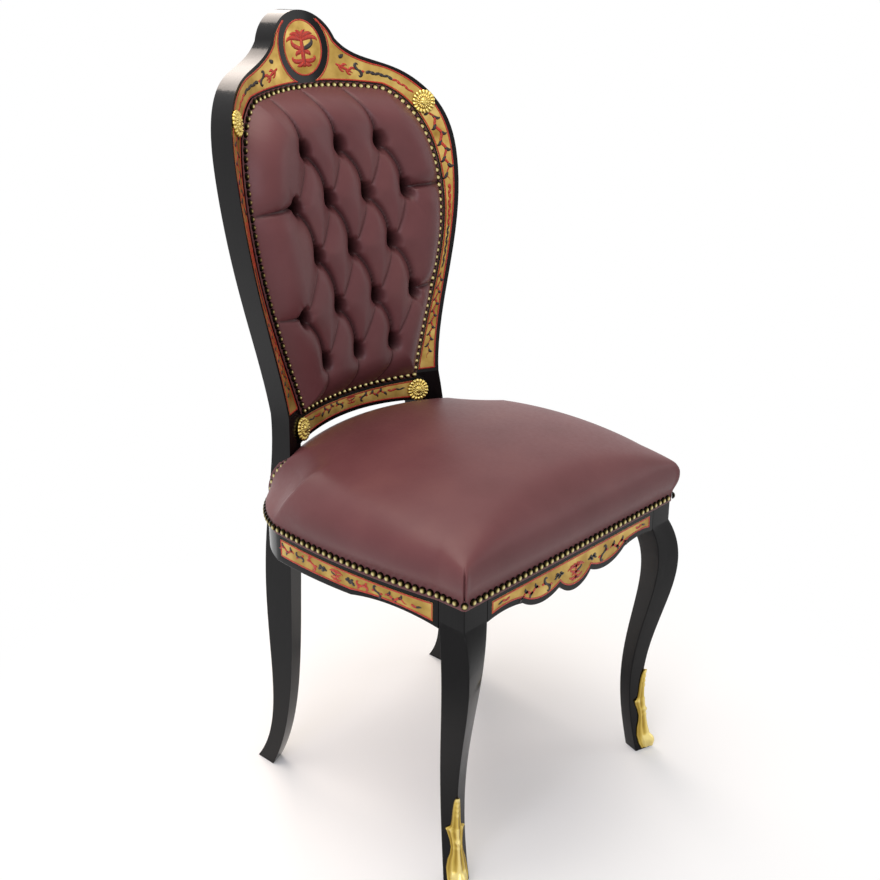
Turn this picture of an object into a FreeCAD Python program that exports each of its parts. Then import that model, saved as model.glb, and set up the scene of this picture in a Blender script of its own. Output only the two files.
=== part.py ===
"""Ebonised side chair with a hollow, inlaid back and tufted leather.

The chair stands on the floor at z = 0, faces -Y, and is mirrored about x = 0.
Depths are measured backwards from the outer face of the front seat rail.
"""
import FreeCAD, Part
import math
import os

from FreeCAD import Placement, Rotation, Vector

doc = FreeCAD.newDocument("side_chair")

# Driving dimensions in millimetres and degrees: cell name, value, meaning.
DIMENSIONS = [
    ("front_face", 263, "origin to the outer face of the front rail"),
    ("overall_height", 1060, "floor to the top of the crest"),
    ("seat_width", 434, "over the outer faces of the front legs"),
    ("rail_top", 430, "floor to the top of the seat rails"),
    ("rail_thickness", 28, "seat rails, front and sides"),
    ("fit_gap", 0.3, "clearance round pieces that fit together"),
    # Front legs, set by their outer arris.
    ("leg_block", 42, "side of the square block at the seat"),
    ("leg_block_height", 46, "height of that block"),
    ("leg_turn", 17, "turn of the curved leg towards the front"),
    ("knee_height", 304, "floor to the knee"),
    ("knee_out", 17, "knee beyond the block"),
    ("knee_size", 37, "side of the leg at the knee"),
    ("ankle_height", 108, "floor to the ankle"),
    ("ankle_in", 21, "ankle inside the block"),
    ("ankle_size", 24, "side of the leg at the ankle"),
    ("toe_height", 46, "floor to the start of the toe"),
    ("toe_in", 15, "toe inside the block where it starts"),
    ("foot_in", 4, "foot inside the block at the floor"),
    ("foot_size", 26, "side of the foot"),
    ("sabot_thickness", 1.8, "gilt foot mount"),
    ("sabot_height", 140, "floor to the leaf tip of the mount"),
    ("sabot_bottom", 5, "floor to the lower edge of the mount"),
    ("sabot_depth", 15, "leaf behind the arris, along the leg's diagonal"),
    # Back: a hollow cylinder that leans backwards.
    ("back_center_depth", 406, "front of the back at rail height, on the centre line"),
    ("back_rake", 9.15, "lean of the back"),
    ("back_radius", 310, "hollow front face of the back"),
    ("back_thickness", 34, "thickness of the back frame"),
    ("cartouche_half_width", 57, "rounded top of the crest"),
    ("cartouche_drop", 39, "crest top to the ends of that round"),
    ("neck_half_width", 74, "hollow beside the round"),
    ("neck_drop", 54, "crest top to that hollow"),
    ("shoulder_half_width", 147, "shoulder of the crest"),
    ("shoulder_drop", 85, "crest top to the shoulder"),
    ("haunch_half_width", 190, "haunch of the crest"),
    ("haunch_drop", 131, "crest top to the haunch"),
    ("back_half_width", 204, "widest place of the back"),
    ("widest_drop", 212, "crest top to the widest place"),
    ("stile_half_width", 185, "outer edge of the stile half way down"),
    ("stile_drop", 351, "crest top to half way down the stile"),
    ("waist_half_width", 150, "outer edge of the post at its waist"),
    ("waist_height", 536, "floor to the waist of the post"),
    ("post_width", 33, "face of the post at its waist"),
    # Line of nails round the back pad, set in from the outer edge.
    ("nail_top_drop", 100, "crest top to the nails on the centre line"),
    ("nail_corner_half_width", 118, "top corner of the nail line"),
    ("nail_corner_drop", 110, "crest top to that corner"),
    ("nail_inset_haunch", 37, "outer edge to the nails at the haunch"),
    ("nail_inset_widest", 28, "outer edge to the nails at the widest place"),
    ("nail_inset_stile", 21, "outer edge to the nails half way down"),
    ("nail_low_half_width", 112, "bottom corner of the nail line"),
    ("nail_low_drop", 1, "waist of the posts to the bottom row of nails"),
    ("opening_inset", 8, "nail line to the opening of the frame"),
    ("leather_margin", 4.8, "nail line to the cut edge of the leather"),
    ("lower_rail_drop", 42, "waist of the posts to the lower edge of the lower back rail"),
    ("lower_rail_arch", 7, "rise of that edge on the centre line"),
    # Rear legs below the waist, set from the waist of the post.
    ("seat_splay", 11, "post outside its waist at rail height"),
    ("seat_forward", 8, "post in front of its waist at rail height"),
    ("seat_post_width", 32, "face of the post at rail height"),
    ("seat_post_depth", 44, "depth of the post at rail height"),
    ("hock_height", 285, "floor to the hock"),
    ("hock_splay", 25, "hock outside the waist"),
    ("hock_forward", 17, "hock in front of the waist"),
    ("hock_width", 29, "face at the hock"),
    ("hock_depth", 56, "depth at the hock"),
    ("shank_height", 150, "floor to the thin part of the rear leg"),
    ("shank_splay", 40, "thin part outside the waist"),
    ("shank_forward", 25, "thin part in front of the waist"),
    ("shank_width", 26, "face at the thin part"),
    ("shank_depth", 42, "depth at the thin part"),
    ("heel_splay", 55, "rear foot outside the waist"),
    ("heel_back", 8, "rear foot behind the waist"),
    ("heel_width", 24, "face at the rear foot"),
    ("heel_depth", 34, "depth at the rear foot"),
    ("post_slant", 22, "slant of the rear leg's face"),
    # Seat frame.
    ("seat_bow", 15.5, "side rails bow out beyond the front legs"),
    ("side_mid_depth", 180, "depth of the widest place of the seat"),
    ("side_end_depth", 326, "depth where the side rail starts to turn in"),
    ("side_end_out", 11, "side rail outside the front legs at that depth"),
    ("turn_mid_depth", 368, "middle of the turn towards the post"),
    ("turn_mid_in", 10, "side rail inside the front legs at that middle"),
    ("side_rail_height", 57, "side rail where it meets the front leg"),
    ("side_arch", 10, "rise of the arch under the side rail"),
    ("rear_rail_height", 55, "rear rail"),
    ("rear_rail_thickness", 26, "rear rail"),
    ("seat_depth", 451, "front rail to the back of the rear rail, on the centre line"),
    ("apron_end_height", 49, "front rail at the legs"),
    ("apron_rise", 3, "rise of its lower edge beside the legs"),
    ("apron_lobe_drop", 64, "rail top to the side lobes of the apron"),
    ("apron_cusp_drop", 56, "rail top to the cusps beside the middle lobe"),
    ("apron_cusp_half", 33, "centre line to those cusps"),
    ("apron_center_drop", 72, "rail top to the middle lobe"),
    ("block_leg", 62, "short sides of a corner block"),
    ("block_height", 34, "height of a corner block"),
    ("tenon_length", 30, "tenon, half of it in each of the joined pieces"),
    ("tenon_thickness", 9, "tenon"),
    ("tenon_height", 26, "tenon of a seat rail"),
    ("back_tenon_height", 16, "tenon in the back frame"),
    # Inlay, rosettes and nails.
    ("inlay_depth", 0.8, "inlay let into the wood"),
    ("inlay_proud", 0.2, "inlay above the wood"),
    ("inlay_outer_margin", 5, "black edge outside the back inlay"),
    ("inlay_inner_margin", 7, "black band between inlay and nail line"),
    ("rail_inlay_margin", 8, "black edge round the seat rail inlays"),
    ("rail_inlay_top", 24, "rail top to the upper edge of those inlays"),
    ("medallion_half_width", 34, "brass oval of the crest"),
    ("medallion_half_height", 37, "brass oval of the crest"),
    ("medallion_drop", 49, "crest top to the middle of the oval"),
    ("medallion_border", 10, "black ring round the oval"),
    ("rosette_diameter", 36, "gilt rosette"),
    ("rosette_height", 7, "gilt rosette"),
    ("rosette_petals", 12, "scallops round a rosette"),
    ("rosette_upper_half", 173, "centre line to the upper rosettes"),
    ("rosette_upper_drop", 130, "crest top to the upper rosettes"),
    ("rosette_lower_half", 117, "centre line to the lower rosettes"),
    ("rosette_lower_drop", 25.5, "waist of the posts to the lower rosettes"),
    ("nail_diameter", 10, "head of an upholstery nail"),
    ("nail_height", 4, "height of that head"),
    ("nail_pitch", 10.6, "from nail to nail"),
    ("seat_nail_drop", 9, "rail top to the nails of the seat"),
    # Upholstery.
    ("leather", 2, "leather"),
    ("leather_skirt", 17, "rail top to the lower edge of the seat leather"),
    ("cloth", 1.2, "canvas and webbing"),
    ("strap_width", 48, "webbing"),
    ("seat_swell", 7, "seat leather beyond the rails where it swells most"),
    ("swell_rise", 22, "rail top to the widest place of the swell"),
    ("roll_rise", 45, "rail top to the top of the rolled edge"),
    ("shoulder_rise", 63, "rail top to the shoulder of the seat"),
    ("shoulder_inset", 24, "shoulder inside the rail faces"),
    ("crown_rise", 84, "rail top to the crown of the seat"),
    ("crown_radius", 905, "roundness of the top of the seat"),
    ("fill_inset", 30, "stuffing inside the rail faces"),
    ("fill_rise", 50, "rail top to the top of the stuffing"),
    ("crown_depth", 195, "depth of the middle of the crown"),
    ("rear_draw", 0.5, "rear edge drawn forwards for each millimetre of rise"),
    ("pad_edge", 3, "back leather at the nails"),
    ("pad_crown", 50, "back pad in front of the frame"),
    ("tuft_share", 0.6, "depth of a tuft as a share of the pad"),
    ("tuft_across", 71, "between tufts in a row"),
    ("tuft_low_rise", 68, "bottom nails to the lowest row of tufts"),
    ("tuft_top_drop", 72, "top nails to the highest row of tufts"),
    ("tuft_radius", 31, "radius of a tuft at the top of the pad"),
    ("button_diameter", 13, "leather button"),
    ("button_height", 4.5, "leather button"),
]

sizes = doc.addObject("Spreadsheet::Sheet", "sizes")
for row, (name, value, meaning) in enumerate(DIMENSIONS, start=1):
    sizes.set("A%d" % row, name)
    sizes.set("B%d" % row, str(value))
    sizes.setAlias("B%d" % row, name)
    sizes.set("C%d" % row, meaning)
doc.recompute()
s = sizes

front = -s.front_face
half = s.seat_width / 2
lean = math.radians(s.back_rake)


# Small helpers shared by all pieces.
def fixed(name, shape):
    """Put a worked-out shape into the document."""
    item = doc.addObject("Part::Feature", name)
    item.Shape = shape
    return item


def cut(name, base, tools):
    """Take one piece or several out of a base."""
    item = doc.addObject("Part::Cut", name)
    item.Base = base
    item.Tool = tools[0] if len(tools) == 1 else group(name + "_tools", tools)
    return item


def common(name, first, second):
    item = doc.addObject("Part::Common", name)
    item.Base = first
    item.Tool = second
    return item


def group(name, items):
    item = doc.addObject("Part::Compound", name)
    item.Links = items
    return item


def mirrored(name, source):
    """The right-hand twin of a left-hand piece."""
    item = doc.addObject("Part::Mirroring", name)
    item.Source = source
    item.Normal = Vector(1, 0, 0)
    return item


def extruded(name, outline, direction, length):
    item = doc.addObject("Part::Extrusion", name)
    item.Base = outline
    item.DirMode = "Custom"
    item.Dir = direction
    item.Solid = True
    item.setExpression("LengthFwd", length)
    return item


def loft(name, wires, straight=False):
    """A solid through closed outlines, smooth or straight from one to the next."""
    sections = [fixed("%s_section_%d" % (name, i), wire) for i, wire in enumerate(wires)]
    item = doc.addObject("Part::Loft", name)
    item.Sections = sections
    item.Solid = True
    item.Ruled = straight
    return item


def arc(start, middle, end):
    return Part.Arc(start, middle, end).toShape()


def line(start, end):
    return Part.makeLine(start, end)


def curve(points):
    spline = Part.BSplineCurve()
    spline.interpolate(points)
    return spline.toShape()


def flip(point):
    return Vector(-point.x, point.y, point.z)


def fused(name, first, second):
    item = doc.addObject("Part::Fuse", name)
    item.Base = first
    item.Tool = second
    return item


def tenon(name, center, along, up, height):
    """A tenon centred on a joint, and the mortise that takes it with a little room."""
    turn = Rotation(along, up.cross(along), up, "XZY")
    made = []
    for suffix, room in (("", 0), ("_mortise", 2)):
        block = doc.addObject("Part::Box", name + suffix)
        block.setExpression("Length", "sizes.tenon_length + %d * sizes.fit_gap" % room)
        block.setExpression("Width", "sizes.tenon_thickness + %d * sizes.fit_gap" % room)
        block.setExpression("Height", "sizes.%s + %d * sizes.fit_gap" % (height, room))
        size = Vector(s.tenon_length, s.tenon_thickness, getattr(s, height))
        size += Vector(1, 1, 1) * (room * s.fit_gap)
        block.Placement = Placement(center - turn.multVec(size * 0.5), turn)
        made.append(block)
    return made


def ring(radius, height, sides):
    """Corners of a level regular polygon about the origin."""
    turns = [2 * math.pi * i / sides for i in range(sides)]
    return [Vector(radius * math.cos(a), radius * math.sin(a), height) for a in turns]


def polygon(points):
    return Part.Face(Part.makePolygon(points + points[:1]))


def tapered(lower, higher):
    """A flat-faced solid between two level polygons of the same form."""
    faces = [polygon(lower), polygon(higher)]
    for i in range(len(lower)):
        k = i - 1
        faces.append(polygon([lower[k], lower[i], higher[i], higher[k]]))
    return Part.Solid(Part.Shell(faces))


def pyramid(radius, height, sides):
    """A low pointed head that stands on z = 0."""
    base = ring(radius, 0, sides)
    tip = Vector(0, 0, height)
    faces = [polygon(base)] + [polygon([base[i - 1], base[i], tip]) for i in range(sides)]
    return Part.Solid(Part.Shell(faces))


def placed(shape, point, outward):
    """A copy of a shape that stands at a point along a direction."""
    copy = shape.copy()
    copy.Placement = Placement(point, Rotation(Vector(0, 0, 1), outward))
    return copy


def studs(name, head, seats):
    """Copies of a head, each at a point and along an outward direction."""
    return fixed(name, Part.makeCompound([placed(head, point, outward) for point, outward in seats]))


def spaced(edge, pitch):
    """Evenly spaced points along an edge."""
    return edge.discretize(Number=max(2, int(round(edge.Length / pitch)) + 1))


# The hollow of the back: a cylinder about a leaning axis.
axis_y = front + s.back_center_depth - s.rail_top * math.tan(lean) - s.back_radius / math.cos(lean)
axis_start = axis_y - s.overall_height * math.tan(lean)
back_start = axis_y + s.overall_height * math.tan(lean) + s.back_thickness
axis_direction = Vector(0, math.sin(lean), math.cos(lean))


def hollow(x, z, lift=0.0):
    """Point of the hollow at x and z; lift stands in front of it."""
    radius = s.back_radius - lift
    depth = math.sqrt(radius * radius - x * x) / math.cos(lean)
    return Vector(x, axis_y + z * math.tan(lean) + depth, z)


def hollow_normal(x):
    """Direction out of the hollow, towards the sitter."""
    side = -x / s.back_radius
    forward = math.sqrt(1 - side * side)
    return Vector(side, -forward * math.cos(lean), forward * math.sin(lean))


def shell(name, inner, outer):
    """The layer of the back between two radii, given as expressions."""
    tubes = []
    for label, radius in (("inner", inner), ("outer", outer)):
        tube = doc.addObject("Part::Cylinder", "%s_%s" % (name, label))
        tube.setExpression("Radius", radius)
        tube.setExpression("Height", "3 * sizes.overall_height")
        base = Vector(0, axis_start, -s.overall_height)
        tube.Placement = Placement(base, Rotation(Vector(0, 0, 1), axis_direction))
        tubes.append(tube)
    return cut(name, tubes[1], [tubes[0]])


def through_back(name, outline):
    """A flat outline of the back carried right through its thickness."""
    return extruded(name, outline, Vector(0, 1, 0), "2 * sizes.back_radius")


def flat(x, z):
    """A point of an outline drawn in front of the back."""
    return Vector(x, back_start, z)


top = s.overall_height
nail_low = s.waist_height - s.nail_low_drop
nail_high = top - s.nail_top_drop
outer_points = [
    flat(s.cartouche_half_width, top - s.cartouche_drop),
    flat(s.neck_half_width, top - s.neck_drop),
    flat(s.shoulder_half_width, top - s.shoulder_drop),
    flat(s.haunch_half_width, top - s.haunch_drop),
    flat(s.back_half_width, top - s.widest_drop),
    flat(s.stile_half_width, top - s.stile_drop),
    flat(s.waist_half_width, s.waist_height),
]
outer_side = curve(outer_points)
outer_edges = [
    arc(flip(outer_points[0]), flat(0, top), outer_points[0]),
    outer_side,
    line(outer_points[-1], flip(outer_points[-1])),
    curve([flip(p) for p in reversed(outer_points)]),
]
outer_wire = Part.Wire(outer_edges)

nail_points = [
    flat(s.nail_corner_half_width, top - s.nail_corner_drop),
    flat(s.haunch_half_width - s.nail_inset_haunch, top - s.haunch_drop - 0.25 * s.nail_inset_haunch),
    flat(s.back_half_width - s.nail_inset_widest, top - s.widest_drop),
    flat(s.stile_half_width - s.nail_inset_stile, top - s.stile_drop),
    flat(s.nail_low_half_width, nail_low),
]
nail_top = arc(flip(nail_points[0]), flat(0, nail_high), nail_points[0])
nail_side = curve(nail_points)
nail_bottom = line(nail_points[-1], flip(nail_points[-1]))
nail_other_side = curve([flip(p) for p in reversed(nail_points)])
nail_wire = Part.Wire([nail_top, nail_side, nail_bottom, nail_other_side])


def offset_face(wire, distance):
    """A flat face grown or shrunk from a closed outline, with its corners cut straight."""
    edges = []
    for edge in wire.makeOffset2D(distance, 0, False, False, False).OrderedEdges:
        if edge.Curve.TypeId == "Part::GeomLine" or edge.Length < 3 * abs(distance):
            edges.append(line(*edge.discretize(Number=2)))
        else:
            edges.append(curve(edge.discretize(Number=9)))
    return Part.Face(Part.Wire(edges))


outer_face = Part.Face(outer_wire)
opening_face = offset_face(nail_wire, -s.opening_inset)

# Joint lines of the back: across the band at the upper rosettes.
upper = flat(s.rosette_upper_half, top - s.rosette_upper_drop)
band = (outer_points[4] - outer_points[2]).normalize()
across = Vector(-band.z, 0, band.x)
reach = 2 * s.back_half_width

crest_mask = polygon(
    [
        upper - across * (s.rosette_upper_half / across.x),
        upper + across * reach,
        flat(upper.x + reach, top + reach),
        flat(-upper.x - reach, top + reach),
        flip(upper + across * reach),
    ]
)
frame_face = outer_face.cut(opening_face)
post_inner_half = s.waist_half_width - s.post_width


def left_of(x, low_edge):
    """The left part of the back, from x outwards and above a level."""
    high_edge = top + reach
    return polygon([flat(x, low_edge), flat(x, high_edge), flat(-reach, high_edge), flat(-reach, low_edge)])


left_stile = left_of(-post_inner_half, s.waist_height)
crest_face = frame_face.common(crest_mask)
stile_face = frame_face.cut(crest_mask).common(left_stile)

frame_shell = shell("frame_shell", "sizes.back_radius", "sizes.back_radius + sizes.back_thickness")
inlay_shell = shell(
    "inlay_shell", "sizes.back_radius - sizes.inlay_proud", "sizes.back_radius + sizes.inlay_depth"
)
recess_shell = shell(
    "recess_shell",
    "sizes.back_radius - sizes.back_thickness",
    "sizes.back_radius + sizes.inlay_depth + sizes.fit_gap",
)


def on_frame(name, face, layer):
    """A flat face of the back bent into one of its layers."""
    return common(name, through_back(name + "_through", fixed(name + "_face", face)), layer)


def inlaid(name, face):
    """An inlay of the back, and the slightly larger recess it lies in."""
    inlay = on_frame(name, face, inlay_shell)
    recess = on_frame(name + "_recess", offset_face(face.OuterWire, s.fit_gap), recess_shell)
    return inlay, recess


# Inlay of the back: the band between the outer edge and the nails.
medallion_center = flat(0, top - s.medallion_drop)


def oval(half_width, half_height):
    """An upright oval round the middle of the medallion."""
    ring = Part.Ellipse(
        medallion_center + Vector(0, 0, half_height),
        medallion_center + Vector(half_width, 0, 0),
        medallion_center,
    )
    return Part.Face(Part.Wire(ring.toShape()))


def biggest(face):
    """The largest piece of a cut face."""
    return max(face.Faces, key=lambda part: part.Area)


medallion_face = oval(s.medallion_half_width, s.medallion_half_height)
medallion_ring = oval(
    s.medallion_half_width + s.medallion_border, s.medallion_half_height + s.medallion_border
)
band_face = offset_face(outer_wire, -s.inlay_outer_margin)
band_face = band_face.cut(offset_face(nail_wire, s.inlay_inner_margin))
band_face = band_face.cut(medallion_ring)
crest_inlay_face = biggest(band_face.common(crest_mask).common(left_of(0, 0)))
stile_inlay_face = biggest(band_face.cut(crest_mask).common(left_stile))

crest_inlay_left, crest_recess = inlaid("crest_inlay_left", crest_inlay_face)
crest_inlay_right = mirrored("crest_inlay_right", crest_inlay_left)
crest_recess_right = mirrored("crest_recess_right", crest_recess)
stile_inlay_left, stile_recess = inlaid("stile_inlay_left", stile_inlay_face)
stile_inlay_right = mirrored("stile_inlay_right", stile_inlay_left)
medallion_inlay = on_frame("medallion_inlay", medallion_face, inlay_shell)
medallion_recess = on_frame(
    "medallion_recess",
    oval(s.medallion_half_width + s.fit_gap, s.medallion_half_height + s.fit_gap),
    recess_shell,
)

# Lower back rail, between the posts, with a lightly arched lower edge.
rail_reach = post_inner_half + s.post_width / 3
lower_rail_top = nail_low + s.opening_inset
lower_rail_bottom = s.waist_height - s.lower_rail_drop


def low_strip(wide, low_edge, high_edge):
    """A strip of the lower rail whose lower edge is arched."""
    arch = arc(
        flat(-wide, low_edge), flat(0, low_edge + s.lower_rail_arch), flat(wide, low_edge)
    )
    return Part.Face(
        Part.Wire(
            [
                arch,
                line(flat(wide, low_edge), flat(wide, high_edge)),
                line(flat(wide, high_edge), flat(-wide, high_edge)),
                line(flat(-wide, high_edge), flat(-wide, low_edge)),
            ]
        )
    )


lower_inlay_face = low_strip(
    post_inner_half - 2 * s.fit_gap,
    lower_rail_bottom + s.inlay_outer_margin,
    nail_low - s.leather_margin - s.inlay_outer_margin,
)
lower_rail_inlay, lower_recess = inlaid("lower_rail_inlay", lower_inlay_face)


def back_tenon(name, center, along):
    """A tenon in the middle of the thickness of the back frame."""
    ends = [center + along * (k * s.tenon_length / 2) for k in (-1, 1)]
    near, far = [hollow(p.x, p.z, -s.back_thickness / 2) for p in ends]
    way = (far - near).normalize()
    outward = hollow_normal(center.x)
    up = way.cross(outward).normalize()
    return tenon(name, (near + far) * 0.5, way, up, "back_tenon_height")


crest_tenon, crest_mortise = back_tenon("crest_tenon", flip(upper), flip(band))
lower_mid = flat(-post_inner_half, (lower_rail_bottom + lower_rail_top) / 2)
low_tenon, low_mortise = back_tenon("low_tenon", lower_mid, Vector(1, 0, 0))

# Crest rail, mortised for the posts.
crest_raw = on_frame("crest_raw", crest_face, frame_shell)
crest_rail = cut(
    "crest_rail",
    crest_raw,
    [
        crest_mortise,
        mirrored("crest_mortise_right", crest_mortise),
        crest_recess,
        crest_recess_right,
        medallion_recess,
    ],
)

# Back post: the stile above the waist and the rear leg below it.
waist_y = hollow(s.waist_half_width, s.waist_height).y
slant = math.tan(math.radians(s.post_slant))


def leg_section(height, splay, forward, width, depth):
    """Slanted outline of the left rear leg at a height."""
    x = -s.waist_half_width - splay
    y = waist_y - forward
    corners = [
        Vector(x, y, height),
        Vector(x + width, y + width * slant, height),
        Vector(x + width, y + width * slant + depth, height),
        Vector(x, y + depth, height),
    ]
    return Part.makePolygon(corners + corners[:1])


waist_section = [
    hollow(-s.waist_half_width, s.waist_height),
    hollow(-post_inner_half, s.waist_height),
    hollow(-post_inner_half, s.waist_height, -s.back_thickness),
    hollow(-s.waist_half_width, s.waist_height, -s.back_thickness),
]
rear_leg = loft(
    "rear_leg",
    [
        Part.makePolygon(waist_section + waist_section[:1]),
        leg_section(s.rail_top, s.seat_splay, s.seat_forward, s.seat_post_width, s.seat_post_depth),
        leg_section(s.hock_height, s.hock_splay, s.hock_forward, s.hock_width, s.hock_depth),
        leg_section(s.shank_height, s.shank_splay, s.shank_forward, s.shank_width, s.shank_depth),
        leg_section(0, s.heel_splay, -s.heel_back, s.heel_width, s.heel_depth),
    ],
)
post_raw = fused("post_raw", on_frame("stile", stile_face, frame_shell), rear_leg)
post_raw_right = mirrored("post_raw_right", post_raw)
posts = [post_raw, post_raw_right]

# Seat plan, left half from the front leg to the post.
block_back = front + s.leg_block
post_x = -s.waist_half_width - s.seat_splay
post_y = waist_y - s.seat_forward
inner_face_x = post_x + s.seat_post_width
side_end_y = post_y + 0.8 * s.seat_post_depth
rear_y = front + s.seat_depth


def side_points(inset, height):
    """Start, middle and ends of the two arcs of the left side of the seat."""
    return [
        Vector(-half + inset, block_back, height),
        Vector(-half - s.seat_bow + inset, front + s.side_mid_depth, height),
        Vector(-half - s.side_end_out + inset, front + s.side_end_depth, height),
        Vector(-half + s.turn_mid_in + 0.8 * inset, front + s.turn_mid_depth - 0.6 * inset, height),
        Vector(post_x, side_end_y - inset, height),
    ]


floor_of_rails = s.rail_top - s.side_rail_height
low = floor_of_rails - s.side_rail_height
outside = side_points(0, low)
inside = side_points(s.rail_thickness, low)
tail = Vector(s.seat_post_width / 2, 0, 0)
side_plan = Part.Face(
    Part.Wire(
        [
            arc(outside[0], outside[1], outside[2]),
            arc(outside[2], outside[3], outside[4]),
            line(outside[4], outside[4] + tail),
            line(outside[4] + tail, inside[4] + tail),
            line(inside[4] + tail, inside[4]),
            arc(inside[4], inside[3], inside[2]),
            arc(inside[2], inside[1], inside[0]),
            line(inside[0], outside[0]),
        ]
    )
)


def in_side_view(y, z):
    return Vector(-2 * half, front + y, z)


arch_end = 0.55 * s.side_end_depth
arch_middle = (s.leg_block + arch_end) / 2
arch_foot = floor_of_rails + 0.2 * s.side_arch
rear_foot = floor_of_rails - 0.2 * s.side_arch
side_profile = Part.Face(
    Part.Wire(
        [
            arc(
                in_side_view(s.leg_block, floor_of_rails),
                in_side_view(arch_middle, floor_of_rails + s.side_arch),
                in_side_view(arch_end, arch_foot),
            ),
            curve(
                [
                    in_side_view(arch_end, arch_foot),
                    in_side_view(s.side_end_depth, rear_foot),
                    in_side_view(s.seat_depth, rear_foot),
                ]
            ),
            line(in_side_view(s.seat_depth, rear_foot), in_side_view(s.seat_depth, s.rail_top)),
            line(in_side_view(s.seat_depth, s.rail_top), in_side_view(s.leg_block, s.rail_top)),
            line(in_side_view(s.leg_block, s.rail_top), in_side_view(s.leg_block, floor_of_rails)),
        ]
    )
)
side_sawn = common(
    "side_sawn",
    extruded("side_plan_sawn", fixed("side_plan", side_plan), Vector(0, 0, 1), "sizes.rail_top"),
    extruded("side_through", fixed("side_profile", side_profile), Vector(1, 0, 0), "2 * sizes.seat_width"),
)

# Inlay of the side rail, on its long bowed stretch.
inlay_high = s.rail_top - s.rail_inlay_top


def side_inlay(name, grow, depth):
    """The inlay's outline bent to the rail, grown a little for its recess."""
    near = s.leg_block + s.rail_inlay_margin - grow
    far = s.side_end_depth - s.rail_inlay_margin + grow
    low_edge = floor_of_rails + s.rail_inlay_margin - grow
    high_edge = inlay_high + grow
    corners = [
        in_side_view(near, low_edge),
        in_side_view(arch_end, low_edge + 0.2 * s.side_arch),
        in_side_view(far, low_edge),
        in_side_view(far, high_edge),
        in_side_view(near, high_edge),
    ]
    outline = [arc(corners[0], in_side_view(arch_middle, low_edge + 0.7 * s.side_arch), corners[1])]
    outline += [line(a, b) for a, b in zip(corners[1:], corners[2:] + corners[:1])]
    proud = side_points(-s.inlay_proud - grow, low)
    sunk = side_points(depth, low)
    skin = [
        arc(proud[0], proud[1], proud[2]),
        line(proud[2], sunk[2]),
        arc(sunk[2], sunk[1], sunk[0]),
        line(sunk[0], proud[0]),
    ]
    layer = fixed(name + "_layer", Part.Face(Part.Wire(skin)))
    window = fixed(name + "_window", Part.Face(Part.Wire(outline)))
    return common(
        name,
        extruded(name + "_bent", layer, Vector(0, 0, 1), "sizes.rail_top"),
        extruded(name + "_through", window, Vector(1, 0, 0), "sizes.seat_width"),
    )


side_rail_inlay_left = side_inlay("side_rail_inlay_left", 0, s.inlay_depth)
side_rail_inlay_right = mirrored("side_rail_inlay_right", side_rail_inlay_left)
side_recess = side_inlay("side_recess", s.fit_gap, s.inlay_depth + s.fit_gap)


# Rear seat rail, bowed along the back edge of the seat.
def rear_corner(inset, height):
    return Vector(post_x, side_end_y - inset, height)


def rear_arc(inset, height):
    ends = rear_corner(inset, height)
    return arc(ends, Vector(0, rear_y - inset, height), flip(ends))


def rear_middle(x):
    """Middle of the rear rail's thickness at x."""
    circle = rear_arc(s.rear_rail_thickness / 2, 0).Curve
    return circle.Center.y + math.sqrt(circle.Radius**2 - x * x)


rear_low = s.rail_top - s.rear_rail_height
rear_outside = rear_corner(0, rear_low)
rear_inside = rear_corner(s.rear_rail_thickness, rear_low)
rear_plan = Part.Face(
    Part.Wire(
        [
            rear_arc(0, rear_low),
            line(flip(rear_outside), flip(rear_inside)),
            rear_arc(s.rear_rail_thickness, rear_low),
            line(rear_inside, rear_outside),
        ]
    )
)
rear_sawn = extruded("rear_sawn", fixed("rear_plan", rear_plan), Vector(0, 0, 1), "sizes.rear_rail_height")

# Tenons of the seat rails.
tenon_level = s.rail_top - s.apron_end_height / 2
leg_inner = -half + s.leg_block
along_x = Vector(1, 0, 0)
along_y = Vector(0, 1, 0)
upright = Vector(0, 0, 1)
rail_middle = s.rail_thickness / 2
front_tenon, front_mortise = tenon(
    "front_tenon", Vector(leg_inner, front + rail_middle, tenon_level), along_x, upright, "tenon_height"
)
side_tenon, side_mortise = tenon(
    "side_tenon", Vector(-half + rail_middle, block_back, tenon_level), along_y, upright, "tenon_height"
)
turn_tenon, turn_mortise = tenon(
    "turn_tenon",
    Vector(post_x, side_end_y - 0.6 * s.rail_thickness, tenon_level),
    along_x,
    upright,
    "tenon_height",
)
rear_tenon, rear_mortise = tenon(
    "rear_tenon",
    Vector(inner_face_x, rear_middle(inner_face_x), tenon_level),
    along_x,
    upright,
    "tenon_height",
)

# Finished back posts, lower back rail, side rails and rear rail.
post_tenoned = fused("post_tenoned", post_raw, crest_tenon)
back_post_left = cut(
    "back_post_left", post_tenoned, [stile_recess, low_mortise, turn_mortise, rear_mortise]
)
back_post_right = mirrored("back_post_right", back_post_left)

lower_raw = on_frame("lower_raw", low_strip(rail_reach, lower_rail_bottom, lower_rail_top), frame_shell)
lower_trimmed = cut("lower_trimmed", lower_raw, posts)
lower_tenons = group("lower_tenons", [low_tenon, mirrored("low_tenon_right", low_tenon)])
lower_tenoned = fused("lower_tenoned", lower_trimmed, lower_tenons)
lower_back_rail = cut("lower_back_rail", lower_tenoned, [lower_recess])

side_trimmed = cut("side_trimmed", side_sawn, [post_raw, side_recess])
side_seat_rail_left = fused(
    "side_seat_rail_left", side_trimmed, group("side_tenons", [side_tenon, turn_tenon])
)
side_seat_rail_right = mirrored("side_seat_rail_right", side_seat_rail_left)

rear_trimmed = cut("rear_trimmed", rear_sawn, posts)
rear_tenons = group("rear_tenons", [rear_tenon, mirrored("rear_tenon_right", rear_tenon)])
rear_seat_rail = fused("rear_seat_rail", rear_trimmed, rear_tenons)

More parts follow.
